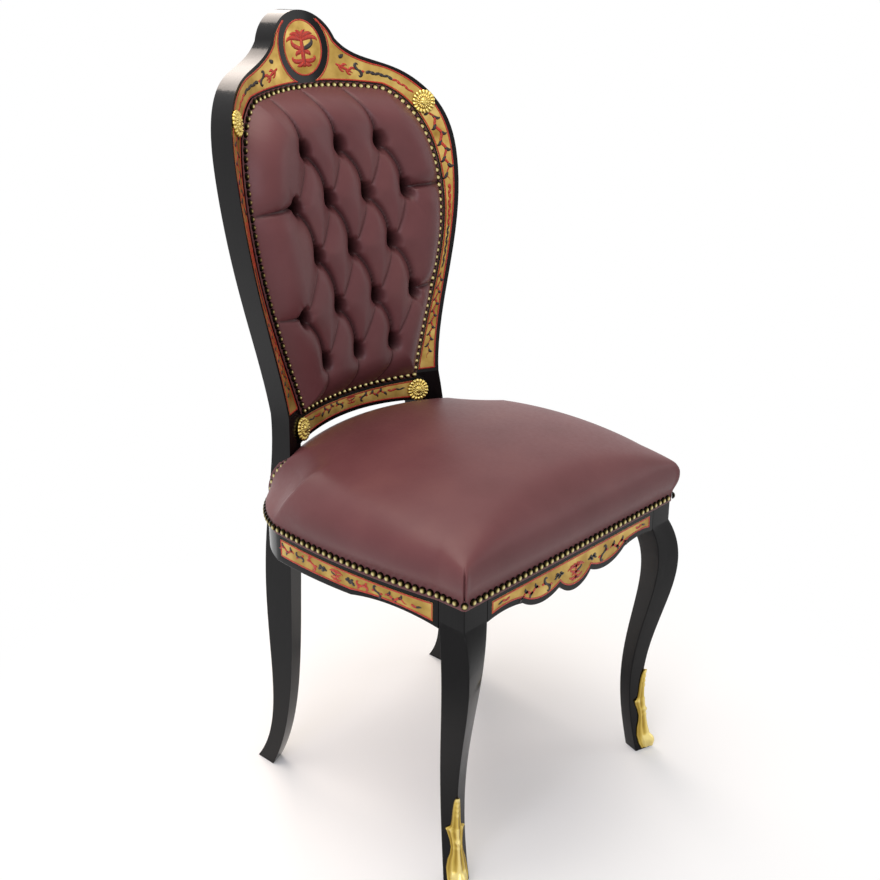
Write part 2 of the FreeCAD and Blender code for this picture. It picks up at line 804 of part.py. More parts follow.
# Front seat rail: an apron with a middle lobe between two cusps.
rail_end = half - s.leg_block


def apron_edges(place, grow):
    """Lower edge of the apron from left to right, raised by grow."""
    foot = s.rail_top - s.apron_end_height + grow
    end = place(-rail_end + grow, foot)
    rise = place(-0.88 * rail_end + grow, foot + s.apron_rise)
    flank = place(-0.62 * rail_end, foot - 0.25 * s.apron_rise)
    lobe = place(-0.36 * rail_end, s.rail_top - s.apron_lobe_drop + grow)
    cusp = place(-s.apron_cusp_half, s.rail_top - s.apron_cusp_drop + grow)
    middle = place(0, s.rail_top - s.apron_center_drop + grow)
    left = [(end, rise, flank), (flank, lobe, cusp)]
    right = [tuple(flip(p) for p in reversed(run)) for run in reversed(left)]
    return left + [(cusp, middle, flip(cusp))] + right


def in_sketch(x, z):
    return Vector(x, z, 0)


def on_front(x, z):
    return Vector(x, front, z)


front_body = doc.addObject("PartDesign::Body", "front_rail_body")
front_plane = [f for f in front_body.Origin.OriginFeatures if f.Role == "XZ_Plane"][0]
front_sketch = front_body.newObject("Sketcher::SketchObject", "front_rail_outline")
front_sketch.AttachmentSupport = [(front_plane, "")]
front_sketch.MapMode = "FlatFace"
apron_runs = apron_edges(in_sketch, 0)
for start, middle, end in apron_runs:
    front_sketch.addGeometry(Part.Arc(start, middle, end), False)
front_corners = [
    apron_runs[-1][2],
    in_sketch(rail_end, s.rail_top),
    in_sketch(-rail_end, s.rail_top),
    apron_runs[0][0],
]
for start, end in zip(front_corners, front_corners[1:]):
    front_sketch.addGeometry(Part.LineSegment(start, end), False)
front_pad = front_body.newObject("PartDesign::Pad", "front_rail_pad")
front_pad.Profile = front_sketch
front_pad.setExpression("Length", "sizes.rail_thickness")
front_pad.Reversed = True
front_body.Placement = Placement(Vector(0, front, 0), Rotation())


def front_inlay(name, grow):
    """The apron's inlay, grown a little for its recess."""
    runs = apron_edges(on_front, s.rail_inlay_margin - grow)
    start = runs[0][0]
    end = runs[-1][2]
    high_edge = inlay_high + grow
    corners = [end, on_front(end.x, high_edge), on_front(start.x, high_edge), start]
    edges = [arc(*run) for run in runs] + [line(a, b) for a, b in zip(corners, corners[1:])]
    sheet = fixed(name + "_outline", Part.Face(Part.Wire(edges)))
    item = extruded(name, sheet, Vector(0, 1, 0), "sizes.inlay_depth")
    item.setExpression("LengthRev", "sizes.inlay_proud")
    return item


front_rail_inlay = front_inlay("front_rail_inlay", 0)
front_recess = front_inlay("front_recess", s.fit_gap)
front_tenons = group("front_tenons", [front_tenon, mirrored("front_tenon_right", front_tenon)])
front_tenoned = fused("front_tenoned", front_body, front_tenons)
front_seat_rail = cut("front_seat_rail", front_tenoned, [front_recess])

# Front leg: a square block over a cabriole sawn along its outer arris.
block_low = s.rail_top - s.leg_block_height


def leg_square(height, out, size, turn, grow):
    """Turned square whose outer corner lies out along its own diagonal."""
    way = math.radians(turn)
    across_leg = Vector(math.cos(way), math.sin(way), 0)
    along_leg = Vector(-math.sin(way), math.cos(way), 0)
    corner = Vector(-half, front, height) - (across_leg + along_leg) * (out / math.sqrt(2) + grow)
    side = size + 2 * grow
    corners = [
        corner,
        corner + across_leg * side,
        corner + across_leg * side + along_leg * side,
        corner + along_leg * side,
    ]
    return Part.makePolygon(corners + corners[:1])


def leg_loft(name, grow):
    """The curved leg below its block, grown all round for its mount."""
    return loft(
        name,
        [
            leg_square(block_low, 0, s.leg_block, 0, grow),
            leg_square(s.knee_height, s.knee_out, s.knee_size, s.leg_turn, grow),
            leg_square(s.ankle_height, -s.ankle_in, s.ankle_size, s.leg_turn, grow),
            leg_square(s.toe_height, -s.toe_in, s.ankle_size, s.leg_turn, grow),
            leg_square(0, -s.foot_in, s.foot_size, s.leg_turn, grow),
        ],
    )


leg_block = doc.addObject("Part::Box", "leg_block")
leg_block.setExpression("Length", "sizes.leg_block")
leg_block.setExpression("Width", "sizes.leg_block")
leg_block.setExpression("Height", "sizes.leg_block_height")
leg_block.Placement = Placement(Vector(-half, front, block_low), Rotation())
leg_raw = fused("leg_raw", leg_block, leg_loft("leg_curved", 0))
front_leg_left = cut("front_leg_left", leg_raw, [front_mortise, side_mortise])
front_leg_right = mirrored("front_leg_right", front_leg_left)

# Gilt foot mount: a thin leaf bent round the outer arris of the foot.
sabot_block = leg_loft("sabot_block", s.sabot_thickness + s.fit_gap)
sabot_shell = cut("sabot_shell", sabot_block, [leg_loft("sabot_room", s.fit_gap)])
leaf_way = math.radians(s.leg_turn + 45)
leaf_back = Vector(math.cos(leaf_way), math.sin(leaf_way), 0)
leaf_side = Vector(-leaf_back.y, leaf_back.x, 0)


def leaf_point(depth, height):
    """A point of the leaf's side view, at a depth behind the leg block's arris."""
    return Vector(-half, front, height) + leaf_back * depth - leaf_side * s.leg_block


leaf_profile = polygon(
    [
        leaf_point(-s.leg_block, s.sabot_height),
        leaf_point(s.ankle_in, s.sabot_height),
        leaf_point(s.toe_in + s.sabot_depth, s.toe_height),
        leaf_point(s.foot_in + s.sabot_depth, s.sabot_bottom),
        leaf_point(-s.leg_block, s.sabot_bottom),
    ]
)
leaf_mask = extruded("leaf_mask", fixed("leaf_profile", leaf_profile), leaf_side, "2 * sizes.leg_block")
sabot_left = common("sabot_left", sabot_shell, leaf_mask)
sabot_right = mirrored("sabot_right", sabot_left)


# Rosette: a gilt boss in three steps, the lowest one scalloped into petals.
def rosette(name, x, z):
    body = doc.addObject("PartDesign::Body", name)
    plane = [f for f in body.Origin.OriginFeatures if f.Role == "XY_Plane"][0]
    rim = s.rosette_diameter / 2
    petals = int(s.rosette_petals)
    steps = (
        ("petals", 2 * petals, rim, 0.86 * rim, 0.45),
        ("ring", petals, 0.62 * rim, 0.62 * rim, 0.75),
        ("eye", petals // 2, 0.28 * rim, 0.28 * rim, 1.0),
    )
    for step, count, out, back, rise in steps:
        outline = body.newObject("Sketcher::SketchObject", "%s_%s" % (name, step))
        outline.AttachmentSupport = [(plane, "")]
        outline.MapMode = "FlatFace"
        points = []
        for i in range(count):
            radius = back if i % 2 else out
            turn = 2 * math.pi * i / count
            points.append(Vector(radius * math.cos(turn), radius * math.sin(turn), 0))
        for start, end in zip(points, points[1:] + points[:1]):
            outline.addGeometry(Part.LineSegment(start, end), False)
        pad = body.newObject("PartDesign::Pad", "%s_%s_pad" % (name, step))
        pad.Profile = outline
        pad.setExpression("Length", "%g * sizes.rosette_height" % rise)
        body.Tip = pad
    sag = rim * rim / (2 * s.back_radius)
    seat = hollow(x, z) + hollow_normal(x) * (s.inlay_proud + sag)
    body.Placement = Placement(seat, Rotation(Vector(0, 0, 1), hollow_normal(x)))
    return body


rosettes = []
for side, sign in (("left", -1), ("right", 1)):
    rosettes.append(
        rosette("rosette_upper_" + side, sign * s.rosette_upper_half, top - s.rosette_upper_drop)
    )
    rosettes.append(
        rosette(
            "rosette_lower_" + side, sign * s.rosette_lower_half, s.waist_height - s.rosette_lower_drop
        )
    )


# Corner blocks, glued inside the seat frame.
def corner_block(name, points, tools):
    outline = fixed(name + "_outline", polygon(points))
    return cut(name, extruded(name + "_sawn", outline, Vector(0, 0, 1), "sizes.block_height"), tools)


block_base = s.rail_top - s.apron_end_height + s.apron_rise
front_corner = Vector(-half + rail_middle, front + s.rail_thickness, block_base)
corner_block_front_left = corner_block(
    "corner_block_front_left",
    [
        front_corner,
        front_corner + Vector(s.block_leg + rail_middle, 0, 0),
        front_corner + Vector(0, s.block_leg + rail_middle, 0),
    ],
    [leg_raw, side_sawn],
)
bite = 0.3 * s.rail_thickness
side_end = Vector(inside[2].x - bite, inside[2].y - s.block_leg / 3, block_base)
turn_middle = Vector(inside[3].x - bite, inside[3].y + bite, block_base)
in_post = Vector(post_x + s.seat_post_width / 2, post_y + s.seat_post_depth / 2, block_base)
rear_end_x = inner_face_x + s.block_leg
rear_end = Vector(rear_end_x, rear_middle(rear_end_x) - bite / 2, block_base)
corner_block_rear_left = corner_block(
    "corner_block_rear_left",
    [side_end, turn_middle, in_post, rear_end],
    [post_raw, side_sawn, rear_sawn],
)

# Seat upholstery, in layers over the rails.
crown_y = front + s.crown_depth


def seat_outline(inset, height):
    """Plan of the seat drawn in by inset, as lines and shallow arcs."""
    shrink = (half - inset) / half
    drawn = s.rear_draw * min(max(height - s.rail_top, 0), s.roll_rise)
    left = side_points(0, 0)
    corner = 0.1 * s.leg_block
    front_end = Vector(-half + corner, front, 0)
    side_start = Vector(-half, front + corner, 0)
    left[3].y -= drawn / 2
    left[4].y -= drawn
    rear = Vector(0, rear_y - drawn, 0)
    half_runs = [
        (front_end, side_start),
        (side_start, left[0]),
        (left[0], left[1], left[2]),
        (left[2], left[3], left[4]),
    ]
    runs = half_runs + [(left[4], rear, flip(left[4]))]
    runs += [tuple(flip(p) for p in reversed(run)) for run in reversed(half_runs)]
    runs.append((flip(front_end), front_end))

    def shrunk(point):
        return Vector(point.x * shrink, crown_y + (point.y - crown_y) * shrink, height)

    edges = []
    for run in runs:
        draw = arc if len(run) == 3 else line
        edges.append(draw(*[shrunk(p) for p in run]))
    return Part.Wire(edges)


swell = s.seat_swell + s.leather
skirt = -s.leather - s.fit_gap
seat_steps = (
    (skirt, -s.leather_skirt),
    (skirt, -s.fit_gap),
    (-0.75 * swell, 0.36 * s.swell_rise),
    (-swell, s.swell_rise),
    (-0.75 * swell, 1.55 * s.swell_rise),
    (0, s.roll_rise),
    (0.45 * s.shoulder_inset, 0.9 * s.shoulder_rise),
    (s.shoulder_inset, s.shoulder_rise),
    (2 * s.shoulder_inset, 1.5 * s.shoulder_rise),
)
seat_walls = loft(
    "seat_walls", [seat_outline(inset, s.rail_top + rise) for inset, rise in seat_steps], True
)
crown_ball = doc.addObject("Part::Sphere", "crown_ball")
crown_ball.setExpression("Radius", "sizes.crown_radius")
crown_ball.Placement = Placement(
    Vector(0, crown_y, s.rail_top + s.crown_rise - s.crown_radius), Rotation(along_x, 90)
)
seat_dome = common("seat_dome", seat_walls, crown_ball)
cloth_rise = 3 * s.cloth


def stuffing_block(name, room):
    """A flat-topped heap of stuffing, grown a little for the room it lies in."""
    left = side_points(s.fill_inset - room, s.rail_top + cloth_rise)
    wide = [
        Vector(left[1].x, front + s.fill_inset - room, left[1].z),
        left[1],
        left[2],
        Vector(inner_face_x - room, post_y - s.fill_inset + room, left[1].z),
    ]
    wide += [flip(p) for p in reversed(wide)]
    height = s.rail_top + s.fill_rise + room
    narrow = [Vector(0.72 * p.x, crown_y + 0.72 * (p.y - crown_y), height) for p in wide]
    return fixed(name, tapered(wide, narrow))


rail_room_plan = fixed(
    "rail_room_plan", Part.Face(seat_outline(-s.fit_gap, s.rail_top - s.leather_skirt))
)
rail_room = extruded(
    "rail_room", rail_room_plan, Vector(0, 0, 1), "sizes.leather_skirt + 3 * sizes.cloth + sizes.fit_gap"
)
leg_raw_right = mirrored("leg_raw_right", leg_raw)
seat_cover = cut(
    "seat_cover",
    seat_dome,
    [rail_room, stuffing_block("stuffing_room", s.fit_gap), leg_raw, leg_raw_right] + posts,
)
seat_stuffing = stuffing_block("seat_stuffing", 0)
canvas_rise = 2 * s.cloth
canvas_plan = fixed("canvas_plan", Part.Face(seat_outline(s.leather, s.rail_top + canvas_rise)))
canvas_sheet = extruded("canvas_sheet", canvas_plan, Vector(0, 0, 1), "sizes.cloth")
seat_canvas = cut("seat_canvas", canvas_sheet, posts)

# Webbing: straps across, then straps from front to back over them.
straps = []
straps_each_way = int((s.seat_depth - s.leg_block) / (1.6 * s.strap_width))
for layer in (0, 1):
    for i in range(straps_each_way):
        strap = doc.addObject("Part::Box", "strap_%d_%d" % (layer, i))
        strap.setExpression("Height", "sizes.cloth")
        share = (i + 0.5) / straps_each_way
        if layer == 0:
            strap.setExpression("Length", "2 * sizes.seat_width")
            strap.setExpression("Width", "sizes.strap_width")
            start = Vector(-2 * half, front + s.seat_depth * share - s.strap_width / 2, s.rail_top)
        else:
            strap.setExpression("Length", "sizes.strap_width")
            strap.setExpression("Width", "2 * sizes.seat_width")
            strap_x = s.seat_width * (share - 0.5) - s.strap_width / 2
            start = Vector(strap_x, front - half, s.rail_top + s.cloth)
        strap.Placement = Placement(start, Rotation())
        straps.append(strap)
web_plan = fixed("web_plan", Part.Face(seat_outline(s.leather, s.rail_top)))
web_room = extruded("web_room", web_plan, Vector(0, 0, 1), "2 * sizes.cloth")
seat_webbing = common("seat_webbing", group("straps", straps), cut("web_clear", web_room, posts))


# Back pad: level outlines from the bottom nails to the top ones.
def pad_half_width(height):
    """Half width inside the nail line at a height."""
    level = min(max(height, nail_low), top - s.nail_corner_drop)
    probe = line(flat(0, level), flat(reach, level))
    return max(hits[0].x for hits in nail_wire.distToShape(probe)[1])


pad_steps = ((0, 0), (0.07, 0.4), (0.25, 0.75), (0.5, 1), (0.8, 1), (0.93, 0.6), (1, 0))


def pad_form(name):
    """A pad that swells from its edge to a crown, in front of the hollow."""
    wires = []
    for share, fullness in pad_steps:
        height = nail_low + (nail_high - nail_low) * share
        wide = pad_half_width(height)
        crown = hollow(0, height, s.pad_edge + (s.pad_crown - s.pad_edge) * fullness)
        edge = hollow(wide, height, s.pad_edge)
        rear = hollow(wide, height, s.pad_edge / 2)
        wires.append(
            Part.Wire(
                [
                    arc(flip(edge), crown, edge),
                    line(edge, rear),
                    arc(rear, hollow(0, height, s.pad_edge / 2), flip(rear)),
                    line(flip(rear), flip(edge)),
                ]
            )
        )
    return loft(name, wires, True)


nail_room = s.nail_diameter / 2 + 3 * s.fit_gap
pad_plan = through_back("pad_plan", fixed("pad_face", offset_face(nail_wire, -nail_room)))
pad_bulge = common("pad_bulge", pad_form("pad_full"), pad_plan)
skirt_shell = shell("skirt_shell", "sizes.back_radius - sizes.pad_edge", "sizes.back_radius - sizes.fit_gap")
pad_skirt = on_frame("pad_skirt", offset_face(nail_wire, s.leather_margin), skirt_shell)
pad_raw = fused("pad_raw", pad_bulge, pad_skirt)
core_shell = shell(
    "core_shell",
    "sizes.back_radius - sizes.pad_edge + sizes.leather",
    "sizes.back_radius + sizes.back_thickness",
)
core_room = on_frame("core_room", opening_face, core_shell)


def pad_lift(x, height):
    """How far the pad stands in front of the hollow at a place."""
    share = (height - nail_low) / (nail_high - nail_low)
    for (low_share, low_full), (high_share, high_full) in zip(pad_steps, pad_steps[1:]):
        if low_share <= share <= high_share:
            part = (share - low_share) / (high_share - low_share)
            fullness = low_full + (high_full - low_full) * part
    across = x / pad_half_width(height)
    return s.pad_edge + (s.pad_crown - s.pad_edge) * fullness * (1 - across * across)


# Tufts: the leather is drawn down under each button.
tuft_rows = (3, 4, 3, 4, 3)
tuft_low = nail_low + s.tuft_low_rise
tuft_high = nail_high - s.tuft_top_drop
button_radius = s.button_diameter / 2
tuft_slope = (s.tuft_radius - button_radius) / (s.tuft_share * s.pad_crown)
dents = []
button_seats = []
for rank, count in enumerate(tuft_rows):
    height = tuft_low + (tuft_high - tuft_low) * rank / (len(tuft_rows) - 1)
    for i in range(count):
        x = (i - (count - 1) / 2) * s.tuft_across
        normal = hollow_normal(x)
        lift = pad_lift(x, height)
        depth = s.tuft_share * lift + s.leather
        base = hollow(x, height) + normal * (lift * (1 - s.tuft_share))
        low_radius = button_radius + s.fit_gap
        dent = tapered(ring(low_radius, 0, 6), ring(low_radius + tuft_slope * depth, depth, 6))
        dents.append(placed(dent, base, normal))
        button_seats.append((base, normal))
tuft_dents = fixed("tuft_dents", Part.makeCompound(dents))
back_cover = cut("back_cover", pad_raw, [core_room, tuft_dents])
button_head = tapered(ring(button_radius, 0, 6), ring(0.55 * button_radius, s.button_height, 6))
back_buttons = studs("back_buttons", button_head, button_seats)

# Stuffing behind the leather: it fills the opening down to the canvas.
layers = "sizes.back_radius + sizes.back_thickness - %s"
plug_outline = offset_face(nail_wire, -s.opening_inset - s.fit_gap)
plug_shell = shell(
    "plug_shell",
    "sizes.back_radius - sizes.pad_edge + sizes.leather + sizes.fit_gap",
    layers % "8 * sizes.cloth",
)
back_stuffing = on_frame("back_stuffing", plug_outline, plug_shell)

# Canvas and webbing across the opening, then the leather of the outside back.
canvas_shell = shell("canvas_shell", layers % "(8 * sizes.cloth - sizes.fit_gap)", layers % "7 * sizes.cloth")
back_canvas = on_frame("back_canvas", plug_outline, canvas_shell)
web_shell = shell("web_shell", layers % "(7 * sizes.cloth - sizes.fit_gap)", layers % "6 * sizes.cloth")
bands = []
web_high = top - s.nail_corner_drop
for share in (0.18, 0.5, 0.82):
    level = nail_low + (web_high - nail_low) * share - s.strap_width / 2
    strip = polygon(
        [
            flat(-reach, level),
            flat(reach, level),
            flat(reach, level + s.strap_width),
            flat(-reach, level + s.strap_width),
        ]
    )
    bands.append(strip.common(plug_outline))
back_webbing = on_frame("back_webbing", Part.makeCompound(bands), web_shell)

outside_shell = shell(
    "outside_shell", layers % "(-sizes.fit_gap)", layers % "(-sizes.fit_gap - sizes.leather)"
)
outside_back_cover = on_frame("outside_back_cover", Part.Face(nail_wire), outside_shell)

# Close nailing, one head beside the next.
nail_head = pyramid(s.nail_diameter / 2, s.nail_height, 6)
seats = []
for edge in (nail_top, nail_side, nail_bottom, nail_other_side):
    for point in spaced(edge, s.nail_pitch)[:-1]:
        normal = hollow_normal(point.x)
        seats.append((hollow(point.x, point.z) + normal * (s.pad_edge + s.fit_gap), normal))
back_nails = studs("back_nails", nail_head, seats)

nail_edges = seat_outline(skirt - s.fit_gap, s.rail_top - s.seat_nail_drop).Edges


def wall_nails(name, edges, narrow, wide):
    """Nails along level edges, facing out, between two half widths."""
    found = []
    for edge in edges:
        for point in spaced(edge, s.nail_pitch)[1:]:
            tangent = edge.tangentAt(edge.Curve.parameter(point))
            if narrow < abs(point.x) < wide:
                found.append((point, Vector(-tangent.y, tangent.x, 0)))
    return studs(name, nail_head, found)


post_room = s.nail_diameter / 2 + s.fit_gap
seat_nails_left = wall_nails("seat_nails_left", nail_edges[1:4], -post_x + post_room, reach)
seat_nails_right = mirrored("seat_nails_right", seat_nails_left)
seat_nails_rear = wall_nails("seat_nails_rear", nail_edges[4:5], -1, -inner_face_x - post_room)
seat_nails_front = wall_nails("seat_nails_front", nail_edges[9:], -1, half - post_room)

# Finished pieces, by name.
finished = {
    "front_leg_left": front_leg_left,
    "front_leg_right": front_leg_right,
    "back_post_left": back_post_left,
    "back_post_right": back_post_right,
    "crest_rail": crest_rail,
    "lower_back_rail": lower_back_rail,
    "front_seat_rail": front_seat_rail,
    "side_seat_rail_left": side_seat_rail_left,
    "side_seat_rail_right": side_seat_rail_right,
    "rear_seat_rail": rear_seat_rail,
    "corner_block_front_left": corner_block_front_left,
    "corner_block_front_right": mirrored("corner_block_front_right", corner_block_front_left),
    "corner_block_rear_left": corner_block_rear_left,
    "corner_block_rear_right": mirrored("corner_block_rear_right", corner_block_rear_left),
    "crest_inlay_left": crest_inlay_left,
    "crest_inlay_right": crest_inlay_right,
    "medallion_inlay": medallion_inlay,
    "stile_inlay_left": stile_inlay_left,
    "stile_inlay_right": stile_inlay_right,
    "lower_rail_inlay": lower_rail_inlay,
    "front_rail_inlay": front_rail_inlay,
    "side_rail_inlay_left": side_rail_inlay_left,
    "side_rail_inlay_right": side_rail_inlay_right,
    "sabot_left": sabot_left,
    "sabot_right": sabot_right,
    "seat_webbing": seat_webbing,
    "seat_canvas": seat_canvas,
    "seat_stuffing": seat_stuffing,
    "seat_cover": seat_cover,
    "seat_nails_front": seat_nails_front,
    "seat_nails_left": seat_nails_left,
    "seat_nails_right": seat_nails_right,
    "seat_nails_rear": seat_nails_rear,
    "back_webbing": back_webbing,
    "back_canvas": back_canvas,
    "back_stuffing": back_stuffing,
    "back_cover": back_cover,
    "back_buttons": back_buttons,
    "back_nails": back_nails,
    "outside_back_cover": outside_back_cover,
}
for item in rosettes:
    finished[item.Name] = item
for label, item in finished.items():
    item.Label = label
doc.recompute()

# Nothing is written unless every feature worked.
failed = [o.Name for o in doc.Objects if "Invalid" in o.State or "Error" in o.State]
if failed:
    raise RuntimeError("failed features: " + ", ".join(failed))
for label, item in finished.items():
    if item.Shape.isNull() or not item.Shape.isValid() or not item.Shape.Solids:
        raise RuntimeError("bad shape: " + label)

os.makedirs("parts", exist_ok=True)
for label, item in finished.items():
    item.Shape.exportStep(os.path.join("parts", label + ".step"))
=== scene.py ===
import math

import bmesh
import bpy
import numpy as np
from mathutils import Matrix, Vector


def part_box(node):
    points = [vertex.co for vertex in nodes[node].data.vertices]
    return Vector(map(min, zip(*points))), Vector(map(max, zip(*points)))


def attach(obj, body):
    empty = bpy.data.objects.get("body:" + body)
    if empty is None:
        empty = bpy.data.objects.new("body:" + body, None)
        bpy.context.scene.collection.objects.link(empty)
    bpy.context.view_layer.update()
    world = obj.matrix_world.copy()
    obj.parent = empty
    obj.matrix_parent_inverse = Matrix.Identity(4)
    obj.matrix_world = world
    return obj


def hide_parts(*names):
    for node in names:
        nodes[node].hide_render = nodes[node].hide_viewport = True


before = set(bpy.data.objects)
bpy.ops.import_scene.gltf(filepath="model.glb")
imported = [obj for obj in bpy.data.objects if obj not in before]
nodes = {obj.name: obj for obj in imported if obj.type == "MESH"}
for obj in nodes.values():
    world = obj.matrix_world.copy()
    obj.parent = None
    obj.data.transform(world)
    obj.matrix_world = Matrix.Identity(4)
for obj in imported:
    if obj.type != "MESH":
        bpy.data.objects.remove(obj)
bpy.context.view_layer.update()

# Joined frame: front legs, back posts, rails and crest of beech, sawn and shaped by hand,
# held by mortise and tenon. The arrises are eased so that the polish holds on them.
WOOD_UPRIGHT = ("front_leg_left", "front_leg_right", "back_post_left", "back_post_right")
WOOD_ACROSS = ("crest_rail", "lower_back_rail", "front_seat_rail", "rear_seat_rail")
WOOD_DEEP = ("side_seat_rail_left", "side_seat_rail_right")
EASED_ARRIS = 0.0013
ARRIS_ANGLE = math.radians(32)
SAME_POINT = 0.00002


def linear(code):
    """A hex colour as the linear values that a shader socket takes."""
    parts = [int(code[i : i + 2], 16) / 255 for i in (1, 3, 5)]
    return tuple(c / 12.92 if c <= 0.04045 else ((c + 0.055) / 1.055) ** 2.4 for c in parts) + (1.0,)


def add(tree, kind, settings=None, links=None, into=None):
    """Add a node with its settings, link what feeds it, and feed its first output into a socket."""
    node = tree.nodes.new(kind)
    for key, value in (settings or {}).items():
        if key == "stops":
            while len(node.color_ramp.elements) < len(value):
                node.color_ramp.elements.new(0.5)
            for element, (place, code) in zip(node.color_ramp.elements, value):
                element.position = place
                element.color = linear(code)
        elif isinstance(key, int) or key in node.inputs:
            node.inputs[key].default_value = value
        else:
            setattr(node, key, value)
    for key, source in (links or {}).items():
        tree.links.new(getattr(source, "outputs", [source])[0], node.inputs[key])
    if into:
        tree.links.new(node.outputs[0], into)
    return node


def new_finish(name):
    """An empty finish: its material, its nodes, the socket that takes its surface, and the places
    on the piece that its patterns follow."""
    material = bpy.data.materials.new(name)
    material.use_nodes = True
    tree = material.node_tree
    tree.nodes.clear()
    surface = add(tree, "ShaderNodeOutputMaterial").inputs["Surface"]
    return material, tree, surface, add(tree, "ShaderNodeTexCoord").outputs["Object"]


# Ebonised beech: stained black and rubbed with shellac, so it is deep, glossy and nearly without
# grain. Real pores are finer than a pixel and are drawn 2.2 mm wide so that the light finds them.
GRAIN_WIDTH = 0.0022
GRAIN_LENGTH = 0.07
RUBBING = 0.045


def ebonised_beech(name, grain_scale):
    """The black finish, with its grain along one way of the chair."""
    material, tree, surface, place = new_finish(name)
    fibre = add(tree, "ShaderNodeMapping", {"Scale": grain_scale}, {"Vector": place})
    grain = add(tree, "ShaderNodeTexNoise", {"Scale": 1.0, "Detail": 4.0}, {"Vector": fibre})
    rubbed = add(tree, "ShaderNodeTexNoise", {"Scale": 1 / RUBBING, "Detail": 3.0}, {"Vector": place})
    blacks = ((0.25, "#060506"), (0.75, "#0E0D0E"))
    stain = add(tree, "ShaderNodeValToRGB", {"stops": blacks}, {"Fac": grain})
    polish = add(tree, "ShaderNodeMapRange", {"To Min": 0.1, "To Max": 0.2}, {"Value": rubbed})
    pores = add(tree, "ShaderNodeBump", {"Strength": 0.06, "Distance": 0.0002}, {"Height": grain})
    shellac = {"IOR": 1.5, "Specular IOR Level": 0.17}
    fed = {"Base Color": stain, "Roughness": polish, "Normal": pores}
    add(tree, "ShaderNodeBsdfPrincipled", shellac, fed, surface)
    return material


def dress(name, material, eased=EASED_ARRIS):
    """Give a solid of the frame its finish and eased arrises."""
    piece = nodes[name]
    piece.data.materials.clear()
    piece.data.materials.append(material)
    if "custom_normal" in piece.data.attributes:
        piece.data.attributes.remove(piece.data.attributes["custom_normal"])
    piece.data.shade_smooth()
    weld = piece.modifiers.new("joined_facets", "WELD")
    weld.merge_threshold = SAME_POINT
    if eased:
        bevel = piece.modifiers.new("eased_arris", "BEVEL")
        bevel.width = eased
        bevel.segments = 2
        bevel.limit_method = "ANGLE"
        bevel.angle_limit = ARRIS_ANGLE
    piece.modifiers.new("even_sheen", "WEIGHTED_NORMAL")
    return piece


across, along = 1 / GRAIN_WIDTH, 1 / GRAIN_LENGTH
for way, grain_scale, names in (
    ("upright", (across, across, along), WOOD_UPRIGHT),
    ("across", (along, across, across), WOOD_ACROSS),
    ("deep", (across, along, across), WOOD_DEEP),
):
    black = ebonised_beech("ebonised_beech_" + way, grain_scale)
    for name in names:
        dress(name, black)

# Corner blocks: beech offcuts sawn to fit and glued into the corners under the seat.
# Plain beech, left unpolished: dry and pale, with a fine brown grain.
BEECH_RING = 0.0025
BEECH_FIGURE = 0.03
BEECH_STREAK = (1 / BEECH_FIGURE, 1 / BEECH_FIGURE, 1 / BEECH_RING)
SAWN_ARRIS = 0.0008
beech, tree, surface, place = new_finish("plain_beech")
streaks = add(tree, "ShaderNodeMapping", {"Scale": BEECH_STREAK}, {"Vector": place})
grain = add(tree, "ShaderNodeTexNoise", {"Scale": 1.0, "Detail": 5.0}, {"Vector": streaks})
sawn = ((0.3, "#8A6039"), (0.55, "#B18453"), (0.8, "#C59A68"))
tone = add(tree, "ShaderNodeValToRGB", {"stops": sawn}, {"Fac": grain})
fibres = add(tree, "ShaderNodeBump", {"Strength": 0.2, "Distance": 0.0003}, {"Height": grain})
dry = {"Roughness": 0.62, "IOR": 1.5}
add(tree, "ShaderNodeBsdfPrincipled", dry, {"Base Color": tone, "Normal": fibres}, surface)
for corner in ("front_left", "front_right", "rear_left", "rear_right"):
    dress("corner_block_" + corner, beech, SAWN_ARRIS)

# Brass inlay: sheet brass let into the black wood on crest, posts and rails, lined with red
# along every edge. The scrolls were cut out and filled with red and black, then rubbed flush.
# The plates of the back follow its hollow, a leaning cylinder on which x and z give a place.
BACK_RADIUS = 0.310
BACK_LEAN = math.radians(9.15)
AXIS_Y = -0.24026


def hollow(x, z, lift=0.0):
    """Point of the back, standing in front of the wood by a lift."""
    depth = math.sqrt((BACK_RADIUS - lift) ** 2 - x * x) / math.cos(BACK_LEAN)
    return Vector((x, AXIS_Y + z * math.tan(BACK_LEAN) + depth, z))


def hollow_normal(x):
    """Direction straight out of the back's wood, towards the sitter."""
    side = -x / BACK_RADIUS
    forward = math.sqrt(1 - side * side)
    return Vector((side, -forward * math.cos(BACK_LEAN), forward * math.sin(BACK_LEAN)))


RED_LINE = 0.0021
INLAY_PROUD = 0.0002
SCROLL_THICKNESS = 0.0003
SCROLL_LIFT = INLAY_PROUD + SCROLL_THICKNESS / 2

